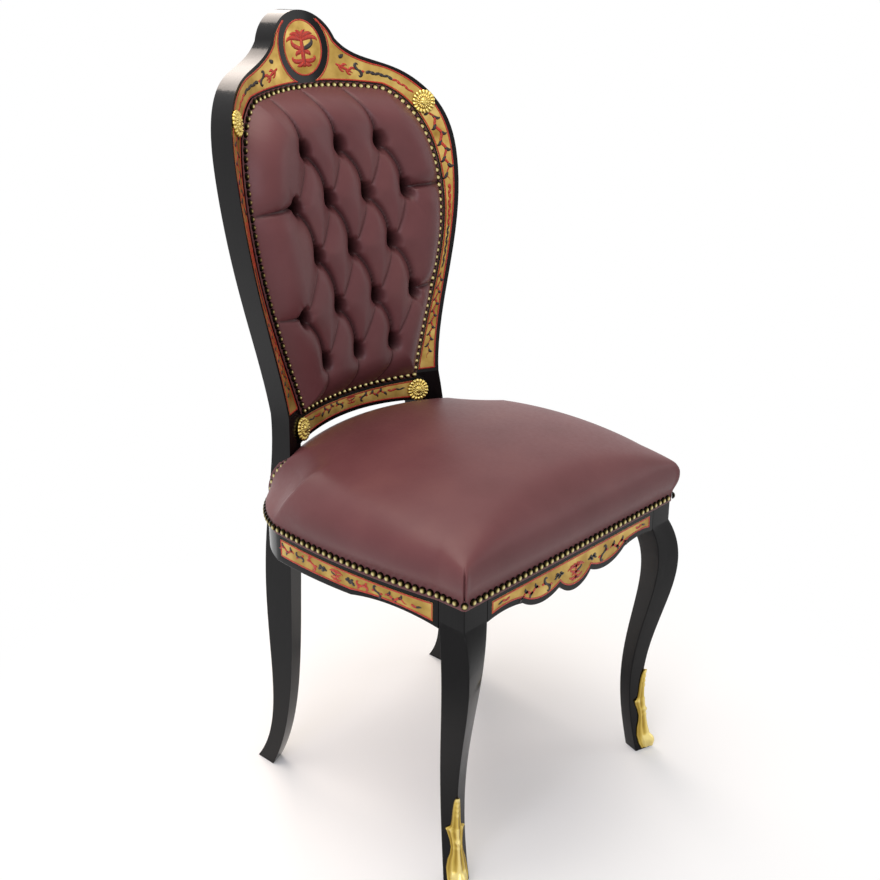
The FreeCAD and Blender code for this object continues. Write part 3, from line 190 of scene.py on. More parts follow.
# Rolled sheet brass, rubbed with pumice: satin, cloudy with old polish, with rubbing marks. Real
# marks are finer than a pixel and are drawn 1.2 mm wide so that they show.
POLISH_CLOUD = 0.03
RUBBING_MARK = 0.0012
brass_sheet, tree, surface, place = new_finish("rubbed_sheet_brass")
cloud = add(tree, "ShaderNodeTexNoise", {"Scale": 1 / POLISH_CLOUD, "Detail": 5.0}, {"Vector": place})
rubs = add(tree, "ShaderNodeTexNoise", {"Scale": 1 / RUBBING_MARK, "Detail": 2.0}, {"Vector": place})
tarnish = ((0.3, "#967638"), (0.55, "#C09F58"), (0.8, "#DCC176"))
tone = add(tree, "ShaderNodeValToRGB", {"stops": tarnish}, {"Fac": cloud})
satin = add(tree, "ShaderNodeMapRange", {"To Min": 0.52, "To Max": 0.4}, {"Value": cloud})
marks = add(tree, "ShaderNodeBump", {"Strength": 0.08, "Distance": 0.0001}, {"Height": rubs})
fed = {"Base Color": tone, "Roughness": satin, "Normal": marks}
add(tree, "ShaderNodeBsdfPrincipled", {"Metallic": 1.0}, fed, surface)

PASTE_MOTTLE = 0.004


def filled_paste(name, dark, light):
    """Coloured paste rubbed into the cut brass: dense, slightly mottled, satin."""
    material, tree, surface, place = new_finish(name)
    cloudy = {"Scale": 1 / PASTE_MOTTLE, "Detail": 4.0}
    mottle = add(tree, "ShaderNodeTexNoise", cloudy, {"Vector": place})
    tone = add(tree, "ShaderNodeValToRGB", {"stops": ((0.3, dark), (0.7, light))}, {"Fac": mottle})
    satin = add(tree, "ShaderNodeMapRange", {"To Min": 0.3, "To Max": 0.5}, {"Value": mottle})
    fed = {"Base Color": tone, "Roughness": satin}
    add(tree, "ShaderNodeBsdfPrincipled", {"IOR": 1.5}, fed, surface)
    return material


red_paste = filled_paste("red_lacquer_paste", "#A32417", "#C93A22")
black_paste = filled_paste("black_lacquer_paste", "#171012", "#2A1A18")


def mesh_piece(name, points, faces, materials):
    """A new piece from points and faces, shaded smooth."""
    mesh = bpy.data.meshes.new(name)
    mesh.from_pydata([tuple(p) for p in points], [], faces)
    for material in materials:
        mesh.materials.append(material)
    mesh.shade_smooth()
    piece = bpy.data.objects.new(name, mesh)
    bpy.context.scene.collection.objects.link(piece)
    return piece


INWARD, BOTH_WAYS = -1.0, 0.0


def thicken(piece, label, thickness, way):
    """Give a sheet of faces the thickness of the real one."""
    skin = piece.modifiers.new(label, "SOLIDIFY")
    skin.thickness = thickness
    skin.offset = way


FACING = 0.8
SHARPEST_MITRE = 0.35
EDGE_ROOM = 0.00005


def front_loop(name, outward):
    """Ordered edge of a plate's outer face, anticlockwise as seen from outside."""
    shape = bmesh.new()
    shape.from_mesh(nodes[name].data)
    bmesh.ops.remove_doubles(shape, verts=shape.verts, dist=SAME_POINT)
    shape.normal_update()
    facing = [f for f in shape.faces if f.normal.dot(outward(f.calc_center_median())) > FACING]
    known = set(facing)
    links = {}
    for face in facing:
        for loop in face.loops:
            if not any(f in known for f in loop.edge.link_faces if f is not face):
                links[loop.vert] = loop.link_loop_next.vert
    start = next(iter(links))
    ring = [start]
    while links[ring[-1]] is not start and len(ring) <= len(links):
        ring.append(links[ring[-1]])
    points = [v.co.copy() for v in ring]
    shape.free()
    return points


def inset_loop(points, outward, distance, lift):
    """The same edge moved into the plate by a distance, and lifted off it."""
    moved = []
    count = len(points)
    for i, point in enumerate(points):
        normal = outward(point)
        before = normal.cross((point - points[i - 1]).normalized())
        after = normal.cross((points[(i + 1) % count] - point).normalized())
        mitre = (before + after) / max(SHARPEST_MITRE, 1 + before.dot(after))
        moved.append(point + mitre * distance + normal * lift)
    return moved


def ring_faces(rings, sides, first=0, tip=True):
    """Faces from ring to ring of points, and from the last ring to a tip."""
    faces = []
    for k in range(rings - 1):
        a, b = first + k * sides, first + (k + 1) * sides
        for j in range(sides):
            n = (j + 1) % sides
            faces.append((a + j, a + n, b + n, b + j))
    last, top = first + (rings - 1) * sides, first + rings * sides
    if tip:
        faces += [(last + j, last + (j + 1) % sides, top) for j in range(sides)]
    return faces


def sheet_faces(rows, columns, first=0):
    """Faces of a sheet of points that lie in rows."""
    starts = [first + i * columns + j for i in range(rows - 1) for j in range(columns - 1)]
    return [(a, a + 1, a + 1 + columns, a + columns) for a in starts]


def lined_edge(points, outward):
    """Points and faces of the red line along a plate's edge."""
    lift = SCROLL_THICKNESS / 2
    outer = inset_loop(points, outward, EDGE_ROOM, lift)
    inner = inset_loop(points, outward, RED_LINE, lift)
    return outer + inner, ring_faces(2, len(points), tip=False)


def stroke(start, heading, length, bend, curl=1.0, steps=12):
    """A cut line that starts straight and winds up towards its end."""
    u, v = start
    points = [(u, v)]
    for i in range(steps):
        heading += bend * ((i + 1) / steps) ** curl * 2 / steps
        u += math.cos(heading) * length / steps
        v += math.sin(heading) * length / steps
        points.append((u, v))
    return points


THIN_END, FULL_MIDDLE = 0.08, 0.52


def scroll_faces(points, width, put, base):
    """A tapered ribbon along a stroke, laid on the plate by the put function."""
    made = []
    last = len(points) - 1
    for i, (u, v) in enumerate(points):
        a, b = points[max(i - 1, 0)], points[min(i + 1, last)]
        size = math.hypot(b[0] - a[0], b[1] - a[1]) or 1.0
        fullness = math.sin(math.pi * min(1, 0.12 + 0.9 * i / last)) ** 0.7
        half = width * (THIN_END + FULL_MIDDLE * fullness)
        du, dv = -(b[1] - a[1]) / size * half, (b[0] - a[0]) / size * half
        made += [put(u + du, v + dv), put(u - du, v - dv)]
    return made, sheet_faces(len(points), 2, base)


def s_scroll(u, v, size, lean, colour, width=0.0034):
    """Two curls that wind opposite ways from one middle, with a leaf at each."""
    lines = []
    for heading in (lean, lean + math.pi):
        curl = stroke((u, v), heading, 1.5 * size, 4.0, 1.2, 18)
        leaf = stroke(curl[6], heading - 0.9, 0.6 * size, 0.9)
        lines += [(colour, curl, width), ("red", leaf, 0.85 * width)]
    return lines


def vine(start, end, reach, wave, stem_colour, leaf_colour, width=0.0028):
    """A waving stem along a band, with a curled leaf at every turn."""
    way = 1 if end > start else -1
    step = 0.0011
    count = int(abs(end - start) / step)
    rise = lambda k: 0.4 * reach * math.sin(2 * math.pi * k * step / wave)
    lines = [(stem_colour, [(start + way * k * step, rise(k)) for k in range(count + 1)], width)]
    for turn in range(int(2 * abs(end - start) / wave)):
        k = (turn + 0.5) * wave / 2 / step
        up = 1 if turn % 2 == 0 else -1
        heading = 0.35 * up if way > 0 else math.pi - 0.35 * up
        start_point = (start + way * (k * step - 0.12 * wave), 0.55 * rise(k))
        leaf = stroke(start_point, heading, min(0.5 * wave, 2.0 * reach), 1.8 * up * way, 1.2)
        lines.append((leaf_colour, leaf, 1.25 * width))
    return lines


CHAIN_PITCH = 0.0068
CHAIN_LEAF = 0.0088
CHAIN_SWAY = 0.0012


def bead_chain(start, end, width, first, second):
    """Small leaves in a chain along a band, one colour and then the other, finer to the end."""
    way = 1 if end > start else -1
    count = max(2, int(abs(end - start) / CHAIN_PITCH))
    lines = []
    for k in range(count):
        up = 1 if k % 2 else -1
        heading = 0.45 * up if way > 0 else math.pi - 0.45 * up
        spot = (start + way * CHAIN_PITCH * k, -CHAIN_SWAY * up)
        bead = stroke(spot, heading, CHAIN_LEAF, -0.5 * up * way, 1.0, 8)
        lines.append((first if k < count / 2 else second, bead, width * (1 - 0.4 * k / count)))
    return lines


def sprig(u, v, way, size, colour, width):
    """A short stem with leaves to both sides."""
    heading = 0.0 if way > 0 else math.pi
    stem = stroke((u, v), heading, size, 0.25)
    lines = [(colour, stem, width)]
    for k, up in ((2, 1), (4, -1), (7, 1), (9, -1)):
        leaf = stroke(stem[k], heading + 1.0 * up * way, 0.4 * size, -1.3 * up * way)
        lines.append((colour, leaf, 0.9 * width))
    return lines


def bouquet(center, wide, tall):
    """A small plant cut into the middle of a plate: plume, curled arms and roots on a trunk."""
    u, v = center
    size = min(wide, 1.3 * tall)
    lines = [("red", [(u, v + tall * k / 6) for k in range(-6, 6)], 0.2 * size)]
    arms = (
        (0.5, 0.55, 1.0, -2.0, "red"), (0.6, 0.95, 0.75, -1.7, "red"), (0.65, 1.35, 0.55, -0.8, "red"),
        (0.0, 0.35, 0.95, 1.7, "split"), (-0.1, -0.2, 0.55, -1.6, "red"),
        (-0.62, -0.35, 0.85, 2.5, "red"), (-0.7, -0.95, 0.5, 1.2, "red"),
    )
    for rise, lean, length, bend, colour in arms:
        for side in (-1, 1):
            line = stroke((0.0, 0.0), lean, length, bend, 1.3)
            shown = ("red" if side < 0 else "black") if colour == "split" else colour
            placed = [(u + side * p * wide, v + (rise + 0.85 * q) * tall) for p, q in line]
            lines.append((shown, placed, 0.17 * size))
    return lines


def inlay(name, outward, put, lines):
    """Finish one brass plate, and lay its red lining and its scrolls on it."""
    dress(name, brass_sheet, 0)
    ring = front_loop(name, outward)
    for colour, finish in (("red", red_paste), ("black", black_paste)):
        points, faces = lined_edge(ring, outward) if colour == "red" else ([], [])
        for shown, line, width in lines:
            if shown == colour:
                more, quads = scroll_faces(line, width, put, len(points))
                points += more
                faces += quads
        piece = mesh_piece("%s_%s_scroll" % (name, colour), points, faces, [finish])
        thicken(piece, "paste_depth", SCROLL_THICKNESS, BOTH_WAYS)
        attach(piece, "root")


def back_outward(point):
    return hollow_normal(point.x)


def on_back(u, v):
    """Place of a scroll on a plate of the back."""
    return hollow(u, v, SCROLL_LIFT)


BAND_STATIONS = 40
NARROWEST_BAND = 0.004


def band_of(ring):
    """The two long edges of a bent band, both running the same way."""
    count = len(ring)
    turns = []
    for i in range(count):
        before = (ring[i] - ring[i - 1]).normalized()
        after = (ring[(i + 1) % count] - ring[i]).normalized()
        turns.append((before.dot(after), i))
    corners = sorted(i for _, i in sorted(turns)[:4])
    sides = []
    for k in range(4):
        a, b = corners[k], corners[(k + 1) % 4]
        run = ring[a : b + 1] if b > a else ring[a:] + ring[: b + 1]
        sides.append(run)
    sides.sort(key=lambda run: -sum((q - p).length for p, q in zip(run, run[1:])))
    return sides[0], list(reversed(sides[1]))


def along_run(run, share):
    """Point at a share of a polyline's length."""
    sizes = [(q - p).length for p, q in zip(run, run[1:])]
    left = share * sum(sizes)
    for size, p, q in zip(sizes, run, run[1:]):
        if left <= size:
            return p.lerp(q, left / size if size else 0)
        left -= size
    return run[-1]


def band_put(name):
    """A function that lays (along, across) onto a band of the back, and the band's length."""
    first, second = band_of(front_loop(name, back_outward))
    from_top = first[0].z + second[0].z > first[-1].z + second[-1].z
    if not from_top:
        first, second = list(reversed(first)), list(reversed(second))
    shares = [i / BAND_STATIONS for i in range(BAND_STATIONS + 1)]
    middle = [along_run(first, share).lerp(along_run(second, share), 0.5) for share in shares]
    length = sum((q - p).length for p, q in zip(middle, middle[1:]))

    def put(u, v):
        share = min(max(u / length, 0.0), 1.0)
        a, b = along_run(first, share), along_run(second, share)
        point = a.lerp(b, 0.5 + v / max((b - a).length, NARROWEST_BAND))
        return on_back(point.x, point.z)

    return put, length


for side in ("left", "right"):
    put, length = band_put("crest_inlay_" + side)
    lines = sprig(0.04, 0.003, 1, 0.03, "red", 0.0036)
    lines.append(("black", stroke((0.046, -0.0085), -0.5, 0.01, -0.5), 0.0042))
    lines += s_scroll(0.078, 0.0, 0.01, 0.3, "black", 0.004)
    lines += bead_chain(0.09, 0.9 * length, 0.0042, "black", "red")
    inlay("crest_inlay_" + side, back_outward, put, lines)
    put, length = band_put("stile_inlay_" + side)
    lines = vine(0.008, 0.3 * length, 0.006, 0.024, "red", "black", 0.0034)
    lines += bead_chain(0.31 * length, 0.62 * length, 0.004, "red", "black")
    lines += vine(0.63 * length, 0.96 * length, 0.0042, 0.018, "red", "black", 0.0024)
    inlay("stile_inlay_" + side, back_outward, put, lines)

MEDALLION_MIDDLE = (0.0, 1.009)
inlay("medallion_inlay", back_outward, on_back, bouquet(MEDALLION_MIDDLE, 0.033, 0.0235))


def mirrored_lines(lines, middle=0.0):
    """The same strokes on the other side of a middle line."""
    return lines + [(c, [(2 * middle - u, v) for u, v in line], w) for c, line, w in lines]


LOWER_MIDDLE = 0.5146
LOWER_HALF = 0.116
LOWER_ARCH = 0.0035


def on_lower_rail(u, v):
    """Place of a scroll on the arched plate of the lower back rail."""
    arch = LOWER_ARCH * (1 - (u / LOWER_HALF) ** 2)
    return on_back(u, LOWER_MIDDLE + v + arch)


lines = bouquet((0.0, 0.0), 0.013, 0.0052)
lines += mirrored_lines(s_scroll(0.024, 0.0, 0.0085, 0.2, "black", 0.003))
lines += mirrored_lines(vine(0.036, 0.066, 0.005, 0.015, "red", "black", 0.0026))
lines += mirrored_lines(bead_chain(0.068, 0.096, 0.003, "red", "black"))
inlay("lower_rail_inlay", back_outward, on_lower_rail, lines)

front_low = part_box("front_rail_inlay")[0]
FRONT_MIDDLE = 0.390


def on_front_rail(u, v):
    """Place of a scroll on the flat plate of the front rail."""
    return Vector((u, front_low.y - SCROLL_THICKNESS / 2, FRONT_MIDDLE + v))


def raised(lines, rise):
    """The same strokes higher up the plate."""
    return [(colour, [(u, v + rise) for u, v in line], width) for colour, line, width in lines]


lines = bouquet((0.0, -0.006), 0.021, 0.0118)
lines += mirrored_lines(sprig(0.026, 0.001, 1, 0.018, "black", 0.0032))
lines += mirrored_lines(s_scroll(0.06, -0.002, 0.0115, 0.5, "black", 0.0038))
lines += mirrored_lines(vine(0.076, 0.116, 0.007, 0.02, "red", "black", 0.003))
lines += mirrored_lines(raised(bead_chain(0.134, 0.16, 0.0032, "red", "black"), 0.0085))
inlay("front_rail_inlay", lambda p: Vector((0, -1, 0)), on_front_rail, lines)


STATION_GAP = 0.004


def plate_edge_at(ring, y):
    """Outermost x of a side plate at a depth."""
    near = min(ring, key=lambda p: abs(p.y - y))
    rest = [p for p in ring if abs(p.y - near.y) > STATION_GAP]
    other = min(rest, key=lambda p: abs(p.y - y) + (0.0 if (p.y - y) * (near.y - y) < 0 else 1.0))
    share = (y - near.y) / (other.y - near.y)
    return near.x + (other.x - near.x) * share


SIDE_MIDDLE = 0.3945
SCROLL_MIDDLE = -0.058
for side, sign in (("left", -1), ("right", 1)):
    name = "side_rail_inlay_" + side
    outward = lambda p, sign=sign: Vector((sign, 0, 0))
    ring = front_loop(name, outward)

    def on_side_rail(u, v, ring=ring, sign=sign):
        x = plate_edge_at(ring, u)
        return Vector((x + sign * SCROLL_THICKNESS / 2, u, SIDE_MIDDLE + v))

    lines = bouquet((SCROLL_MIDDLE, -0.001), 0.015, 0.0078)
    for away in (-1, 1):
        lines += sprig(SCROLL_MIDDLE + 0.017 * away, 0.0, away, 0.016, "black", 0.0034)
        lines += s_scroll(SCROLL_MIDDLE + 0.046 * away, 0.0, 0.0105, 0.4 * away, "red", 0.0036)
        lines += s_scroll(SCROLL_MIDDLE + 0.071 * away, 0.0, 0.009, -0.3 * away, "black", 0.0032)
        start, end = SCROLL_MIDDLE + 0.084 * away, SCROLL_MIDDLE + 0.118 * away
        lines += vine(start, end, 0.006, 0.018, "red", "black", 0.0028)
    lines += raised(bead_chain(-0.182, -0.202, 0.003, "red", "black"), -0.001)
    inlay(name, outward, on_side_rail, lines)

# Rosettes: four small cast and gilt flowers pinned over the joints of the back frame.
# Two rings of petals stand round a beaded eye; the hollows keep darker gilding.
# Cast brass, chased and fire-gilt: bright yellow on the rubbed heights, brown in the hollows. The
# grit of the casting is drawn 1.5 mm wide, coarser than it is, so that it shows.
CASTING_GRIT = 0.0015
gilt, tree, surface, place = new_finish("cast_gilt_brass")
worn = add(tree, "ShaderNodeAttribute", {"attribute_name": "worn"}).outputs["Fac"]
grit = add(tree, "ShaderNodeTexNoise", {"Scale": 1 / CASTING_GRIT, "Detail": 5.0}, {"Vector": place})
gilding = ((0.0, "#4E3C12"), (0.35, "#A08438"), (0.75, "#D2B860"), (1.0, "#E8D48A"))
tone = add(tree, "ShaderNodeValToRGB", {"stops": gilding}, {"Fac": worn})
chased = add(tree, "ShaderNodeMapRange", {"To Min": 0.26, "To Max": 0.46}, {"Value": grit})
pits = add(tree, "ShaderNodeBump", {"Strength": 0.25, "Distance": 0.0004}, {"Height": grit})
fed = {"Base Color": tone, "Roughness": chased, "Normal": pits}
add(tree, "ShaderNodeBsdfPrincipled", {"Metallic": 1.0}, fed, surface)


def mark(piece, kind, values):
    """Keep how worn each point is, or how much painted shade it takes in pits and creases, for the
    finish to read.
    """
    layer = piece.data.attributes.new(kind, "FLOAT", "POINT")
    layer.data.foreach_set("value", np.asarray(values, np.float32))


ROSETTE_RADIUS = 0.0168
ROSETTE_HEIGHT = 0.0068
ROSETTE_SUNK = 0.0006
PETALS = 18
PETAL_STEPS = 8
SCALLOP = 0.09
OUTER_PETALS = 0.62
EYE = 0.3
EYE_BEADS = 6
FLOWER_RINGS = (
    1.0, 1.0, 0.97, 0.9, 0.8, 0.7, 0.64, 0.61, 0.56, 0.48, 0.4, 0.33, 0.3, 0.24, 0.16, 0.08,
)


def rosette_height(share, turn):
    """Height and wear of the flower at a share of its radius and a turn."""
    outer = abs(math.sin(PETALS * turn / 2))
    inner = abs(math.cos(PETALS * turn / 2))
    if share > OUTER_PETALS:
        rise = 0.42 + 0.3 * outer * math.sin(math.pi * (share - OUTER_PETALS) / (1 - OUTER_PETALS))
        return rise * ROSETTE_HEIGHT, 0.25 + 0.75 * outer
    if share > EYE:
        rise = 0.62 + 0.28 * inner * math.sin(math.pi * (share - EYE) / (OUTER_PETALS - EYE))
        return rise * ROSETTE_HEIGHT, 0.2 + 0.8 * inner
    bead = 0.5 + 0.5 * math.cos(EYE_BEADS * turn) * (1 if share > 0.12 else 0)
    rise = 0.78 + 0.22 * math.sqrt(max(0.0, 1 - (share / EYE) ** 2)) - 0.06 * bead
    return rise * ROSETTE_HEIGHT, 0.5 + 0.5 * bead


def rosette(name):
    """Model one flower in the place of its solid."""
    low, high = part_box(name)
    middle = (low + high) / 2
    normal = hollow_normal(middle.x)
    seat = hollow(middle.x, middle.z)
    side = Vector((0, 0, 1)).cross(normal).normalized()
    up = normal.cross(side)
    segments = PETALS * PETAL_STEPS
    points, wear = [], []
    for k, share in enumerate(FLOWER_RINGS):
        for j in range(segments):
            turn = 2 * math.pi * j / segments
            notch = SCALLOP * (1 - abs(math.sin(PETALS * turn / 2))) ** 2
            scallop = 1 - notch if share > OUTER_PETALS else 1
            radius = ROSETTE_RADIUS * share * scallop
            height, worn_here = rosette_height(share, turn)
            if k == 0:
                height, worn_here = -ROSETTE_SUNK, 0.0
            offset = side * (radius * math.cos(turn)) + up * (radius * math.sin(turn))
            points.append(seat + offset + normal * (height + INLAY_PROUD))
            wear.append(worn_here)
    points.append(seat + normal * (ROSETTE_HEIGHT + INLAY_PROUD))
    wear.append(1.0)
    faces = ring_faces(len(FLOWER_RINGS), segments)
    faces.append(tuple(reversed(range(segments))))
    piece = mesh_piece(name + "_flower", points, faces, [gilt])
    mark(piece, "worn", wear)
    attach(piece, "root")
    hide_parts(name)


for level in ("upper", "lower"):
    for side in ("left", "right"):
        rosette("rosette_%s_%s" % (level, side))

# Foot mounts: cast gilt leaves pinned over the outer arris of the front feet.
# A ribbed blade runs up the leg, rolls over at two shoulders and falls in folds to a rolled toe.
LEG_TURN = math.radians(17)
LEAF_OUTLINE = (
    (0.004, 0.0165), (0.012, 0.0188), (0.026, 0.0192), (0.038, 0.0162), (0.048, 0.0118),
    (0.058, 0.0098), (0.068, 0.0112), (0.078, 0.0146), (0.084, 0.0162), (0.0885, 0.0094),
    (0.098, 0.0075), (0.11, 0.0066), (0.121, 0.0054), (0.128, 0.0041), (0.1325, 0.0026),
    (0.1345, 0.001),
)
LEAF_GROUND = 0.0012
LEAF_BASE = 0.0004
LEAF_CASTING = 0.0009
LEAF_ROWS, LEAF_COLUMNS = 120, 45
LEAF_BEAD = 0.0078
TOE_HEIGHT, CURL_HEIGHT, WAIST_HEIGHT, NOSE_HEIGHT = 0.016, 0.025, 0.058, 0.067
SHOULDER_HEIGHT, BLADE_FOOT, BEADS_START, BEADS_SHOWN = 0.082, 0.087, 0.088, 0.104
ROUNDED_EDGE = 0.12
ARRIS_BLEND = 0.004
BRIGHT_RELIEF = 0.0036


def leaf_width(z):
    return float(np.interp(z, [p[0] for p in LEAF_OUTLINE], [p[1] for p in LEAF_OUTLINE]))


def swelling(value, middle, width):
    """A smooth swelling that is 1 at its middle and dies away within a width or two."""
    return math.exp(-(((value - middle) / width) ** 2))


def leaf_relief(z, across, width):
    """How far the leaf stands out at a height, and at a place across it."""
    share = abs(across) / width
    vein = swelling(across, 0, 0.0016)
    if z > BLADE_FOOT:
        rib = swelling(abs(across), 0.58 * width, 0.0011)
        beads = swelling(across, 0, 0.0022) * abs(math.sin((z - BEADS_START) / LEAF_BEAD * math.pi))
        relief = LEAF_GROUND + 0.0016 * vein + 0.0012 * rib + 0.0009 * beads * (z > BEADS_SHOWN)
    else:
        folds = 0.5 + 0.5 * math.cos(4 * math.pi * share)
        lobes = abs(math.sin(5 * math.pi * share)) * swelling(z, 0.01, 0.012)
        relief = LEAF_GROUND + 0.001 * vein + 0.0017 * folds * (1 - 0.3 * share) + 0.0012 * lobes
    nose = swelling(z, NOSE_HEIGHT, 0.0034) * swelling(across, 0, 0.0034)
    roll = swelling(z, SHOULDER_HEIGHT + 0.002 * share, 0.0028) * share
    waist = swelling(z, WAIST_HEIGHT, 0.0022) * (1 - share)
    toe = swelling(z, TOE_HEIGHT, 0.0105) * swelling(across, 0, 0.0085)
    curl = swelling(z, CURL_HEIGHT, 0.004) * swelling(across, 0, 0.009)
    return relief + (0.0024 * nose + 0.0018 * roll + 0.0008 * waist + 0.0062 * toe - 0.0016 * curl)


def foot_mount(side, sign):
    """Model one leaf on the outer arris of its leg, which is found level by level."""
    leg = nodes["front_leg_" + side].data
    front_way = Vector((math.cos(LEG_TURN) * -sign, math.sin(LEG_TURN), 0))
    side_way = Vector((math.sin(LEG_TURN) * sign, math.cos(LEG_TURN), 0))
    corner_way = (front_way + side_way).normalized()
    levels = np.linspace(LEAF_OUTLINE[0][0], LEAF_OUTLINE[-1][0], LEAF_ROWS)
    crossings = {z: [] for z in levels}
    spots = [v.co for v in leg.vertices]
    for edge in leg.edges:
        a, b = spots[edge.vertices[0]], spots[edge.vertices[1]]
        low, high = (a, b) if a.z < b.z else (b, a)
        if low.z > levels[-1] or high.z - low.z < 1e-6:
            continue
        for z in levels[(levels > low.z) & (levels <= high.z)]:
            crossings[z].append(low.lerp(high, (z - low.z) / (high.z - low.z)))
    points, wear = [], []
    for z in levels:
        corner = min(crossings[z], key=lambda p: p.dot(corner_way))
        width = leaf_width(z)
        for j in range(LEAF_COLUMNS):
            across = (2 * j / (LEAF_COLUMNS - 1) - 1) * width
            way = front_way if across > 0 else side_way
            face_out = -side_way if across > 0 else -front_way
            blend = max(0.0, 1 - abs(across) / ARRIS_BLEND) * 0.5
            other_out = -front_way if across > 0 else -side_way
            out = (face_out * (1 - blend) + other_out * blend).normalized()
            relief = leaf_relief(z, across, width)
            edge = min(1.0, (1 - abs(across) / width) / ROUNDED_EDGE)
            height = LEAF_BASE + relief * math.sqrt(edge)
            points.append(corner + way * abs(across) + out * height)
            wear.append(min(1.0, relief / BRIGHT_RELIEF) * (0.3 + 0.7 * edge))
    faces = sheet_faces(LEAF_ROWS, LEAF_COLUMNS)
    if sign > 0:
        faces = [tuple(reversed(quad)) for quad in faces]
    piece = mesh_piece("sabot_%s_leaf" % side, points, faces, [gilt])
    mark(piece, "worn", wear)
    thicken(piece, "cast_thickness", LEAF_CASTING, INWARD)
    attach(piece, "root")
    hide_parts("sabot_" + side)


foot_mount("left", -1)
foot_mount("right", 1)

# Close nailing: pressed brass nails with domed heads, driven one against the next along every
# edge of the leather.
# Nail brass, toned dark and then rubbed: the rims stay nearly black under bright crowns.
TONING_SPOT = 0.003
nail_brass, tree, surface, place = new_finish("toned_nail_brass")
worn = add(tree, "ShaderNodeAttribute", {"attribute_name": "worn"}).outputs["Fac"]
spots = add(tree, "ShaderNodeTexNoise", {"Scale": 1 / TONING_SPOT, "Detail": 3.0}, {"Vector": place})
toning = ((0.0, "#0A0805"), (0.55, "#1E180C"), (0.82, "#7C6C3E"), (1.0, "#D8CC92"))
tone = add(tree, "ShaderNodeValToRGB", {"stops": toning}, {"Fac": worn})
rubbed = add(tree, "ShaderNodeMapRange", {"To Min": 0.2, "To Max": 0.38}, {"Value": spots})
fed = {"Base Color": tone, "Roughness": rubbed}
add(tree, "ShaderNodeBsdfPrincipled", {"Metallic": 1.0}, fed, surface)

NAIL_RADIUS = 0.005
NAIL_PROFILE = (
    (1.0, -0.0003, 0.0), (1.0, 0.0004, 0.0), (0.93, 0.0014, 0.15),
    (0.76, 0.0025, 0.48), (0.5, 0.0034, 0.85), (0.22, 0.0039, 1.0),
)
NAIL_TOP = 0.004
NAIL_SIDES = 12


def nail_seats(name):
    """Seat and direction of each head in a node, from the points that hang together."""
    shape = bmesh.new()
    shape.from_mesh(nodes[name].data)
    bmesh.ops.remove_doubles(shape, verts=shape.verts, dist=SAME_POINT)
    seen, groups = set(), []
    for vert in shape.verts:
        if vert in seen:
            continue
        stack, found = [vert], []
        seen.add(vert)
        while stack:
            one = stack.pop()
            found.append(one)
            for edge in one.link_edges:
                other = edge.other_vert(one)
                if other not in seen:
                    seen.add(other)
                    stack.append(other)
        middle = sum((v.co for v in found), Vector()) / len(found)
        tip = min(found, key=lambda v: (v.co - middle).length)
        rest = [v.co for v in found if v is not tip]
        base = sum(rest, Vector()) / len(rest)
        groups.append((base.copy(), (tip.co - base).normalized()))
    shape.free()
    return groups


def domes(name, seats, radius, profile, crown, sides, finish):
    """One piece of many like domed heads, each at a point and along a direction."""
    points, faces, wear = [], [], []
    for base, normal in seats:
        side = normal.orthogonal().normalized()
        up = normal.cross(side)
        first = len(points)
        for share, height, worn_here in profile:
            for j in range(sides):
                turn = 2 * math.pi * j / sides
                out = side * (math.cos(turn) * radius * share)
                points.append(base + (out + up * (math.sin(turn) * radius * share)) + normal * height)
                wear.append(worn_here)
        points.append(base + normal * crown)
        wear.append(1.0)
        faces += ring_faces(len(profile), sides, first)
        faces.append(tuple(reversed(range(first, first + sides))))
    piece = mesh_piece(name, points, faces, [finish])
    mark(piece, "worn", wear)
    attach(piece, "root")
    return piece


# Nails that carry the seat leather up the outer face of each back post.
POST_NAILS = (
    (0.149, 0.4305), (0.1473, 0.441), (0.1426, 0.4513),
    (0.1355, 0.461), (0.1271, 0.4695), (0.1187, 0.4765),
)
POST_NAIL_LIFT = 0.0022
CORNER_NAIL = Vector((-0.2188, -0.2648, 0.421))
POST_FACE_NORMAL = Vector((-1, 0, 0.1)).normalized()
RAIL_TOP = 0.430
POST_FACE = 0.161
POST_DRAW = 0.011
POST_RISE = 0.106


def post_face_x(z):
    """Outer face of the left post beside the seat, which draws in as it rises."""
    return -POST_FACE + (z - RAIL_TOP) * POST_DRAW / POST_RISE


back_heads = nail_seats("back_nails")
NAIL_ROWS = ("seat_nails_front", "seat_nails_left", "seat_nails_right", "seat_nails_rear", "back_nails")
for node in NAIL_ROWS:
    seats = back_heads if node == "back_nails" else nail_seats(node)
    if node in ("seat_nails_left", "seat_nails_right"):
        sign = 1 if node == "seat_nails_left" else -1
        for y, z in POST_NAILS:
            spot = Vector((sign * (post_face_x(z) - POST_NAIL_LIFT), y, z))
            seats.append((spot, Vector((sign * POST_FACE_NORMAL.x, 0, POST_FACE_NORMAL.z))))
    if node == "seat_nails_front":
        for sign in (1, -1):
            spot = Vector((sign * CORNER_NAIL.x, CORNER_NAIL.y, CORNER_NAIL.z))
            seats.append((spot, Vector((-sign, -1, 0)).normalized()))
    heads = domes(node + "_heads", seats, NAIL_RADIUS, NAIL_PROFILE, NAIL_TOP, NAIL_SIDES, nail_brass)
    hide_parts(node)
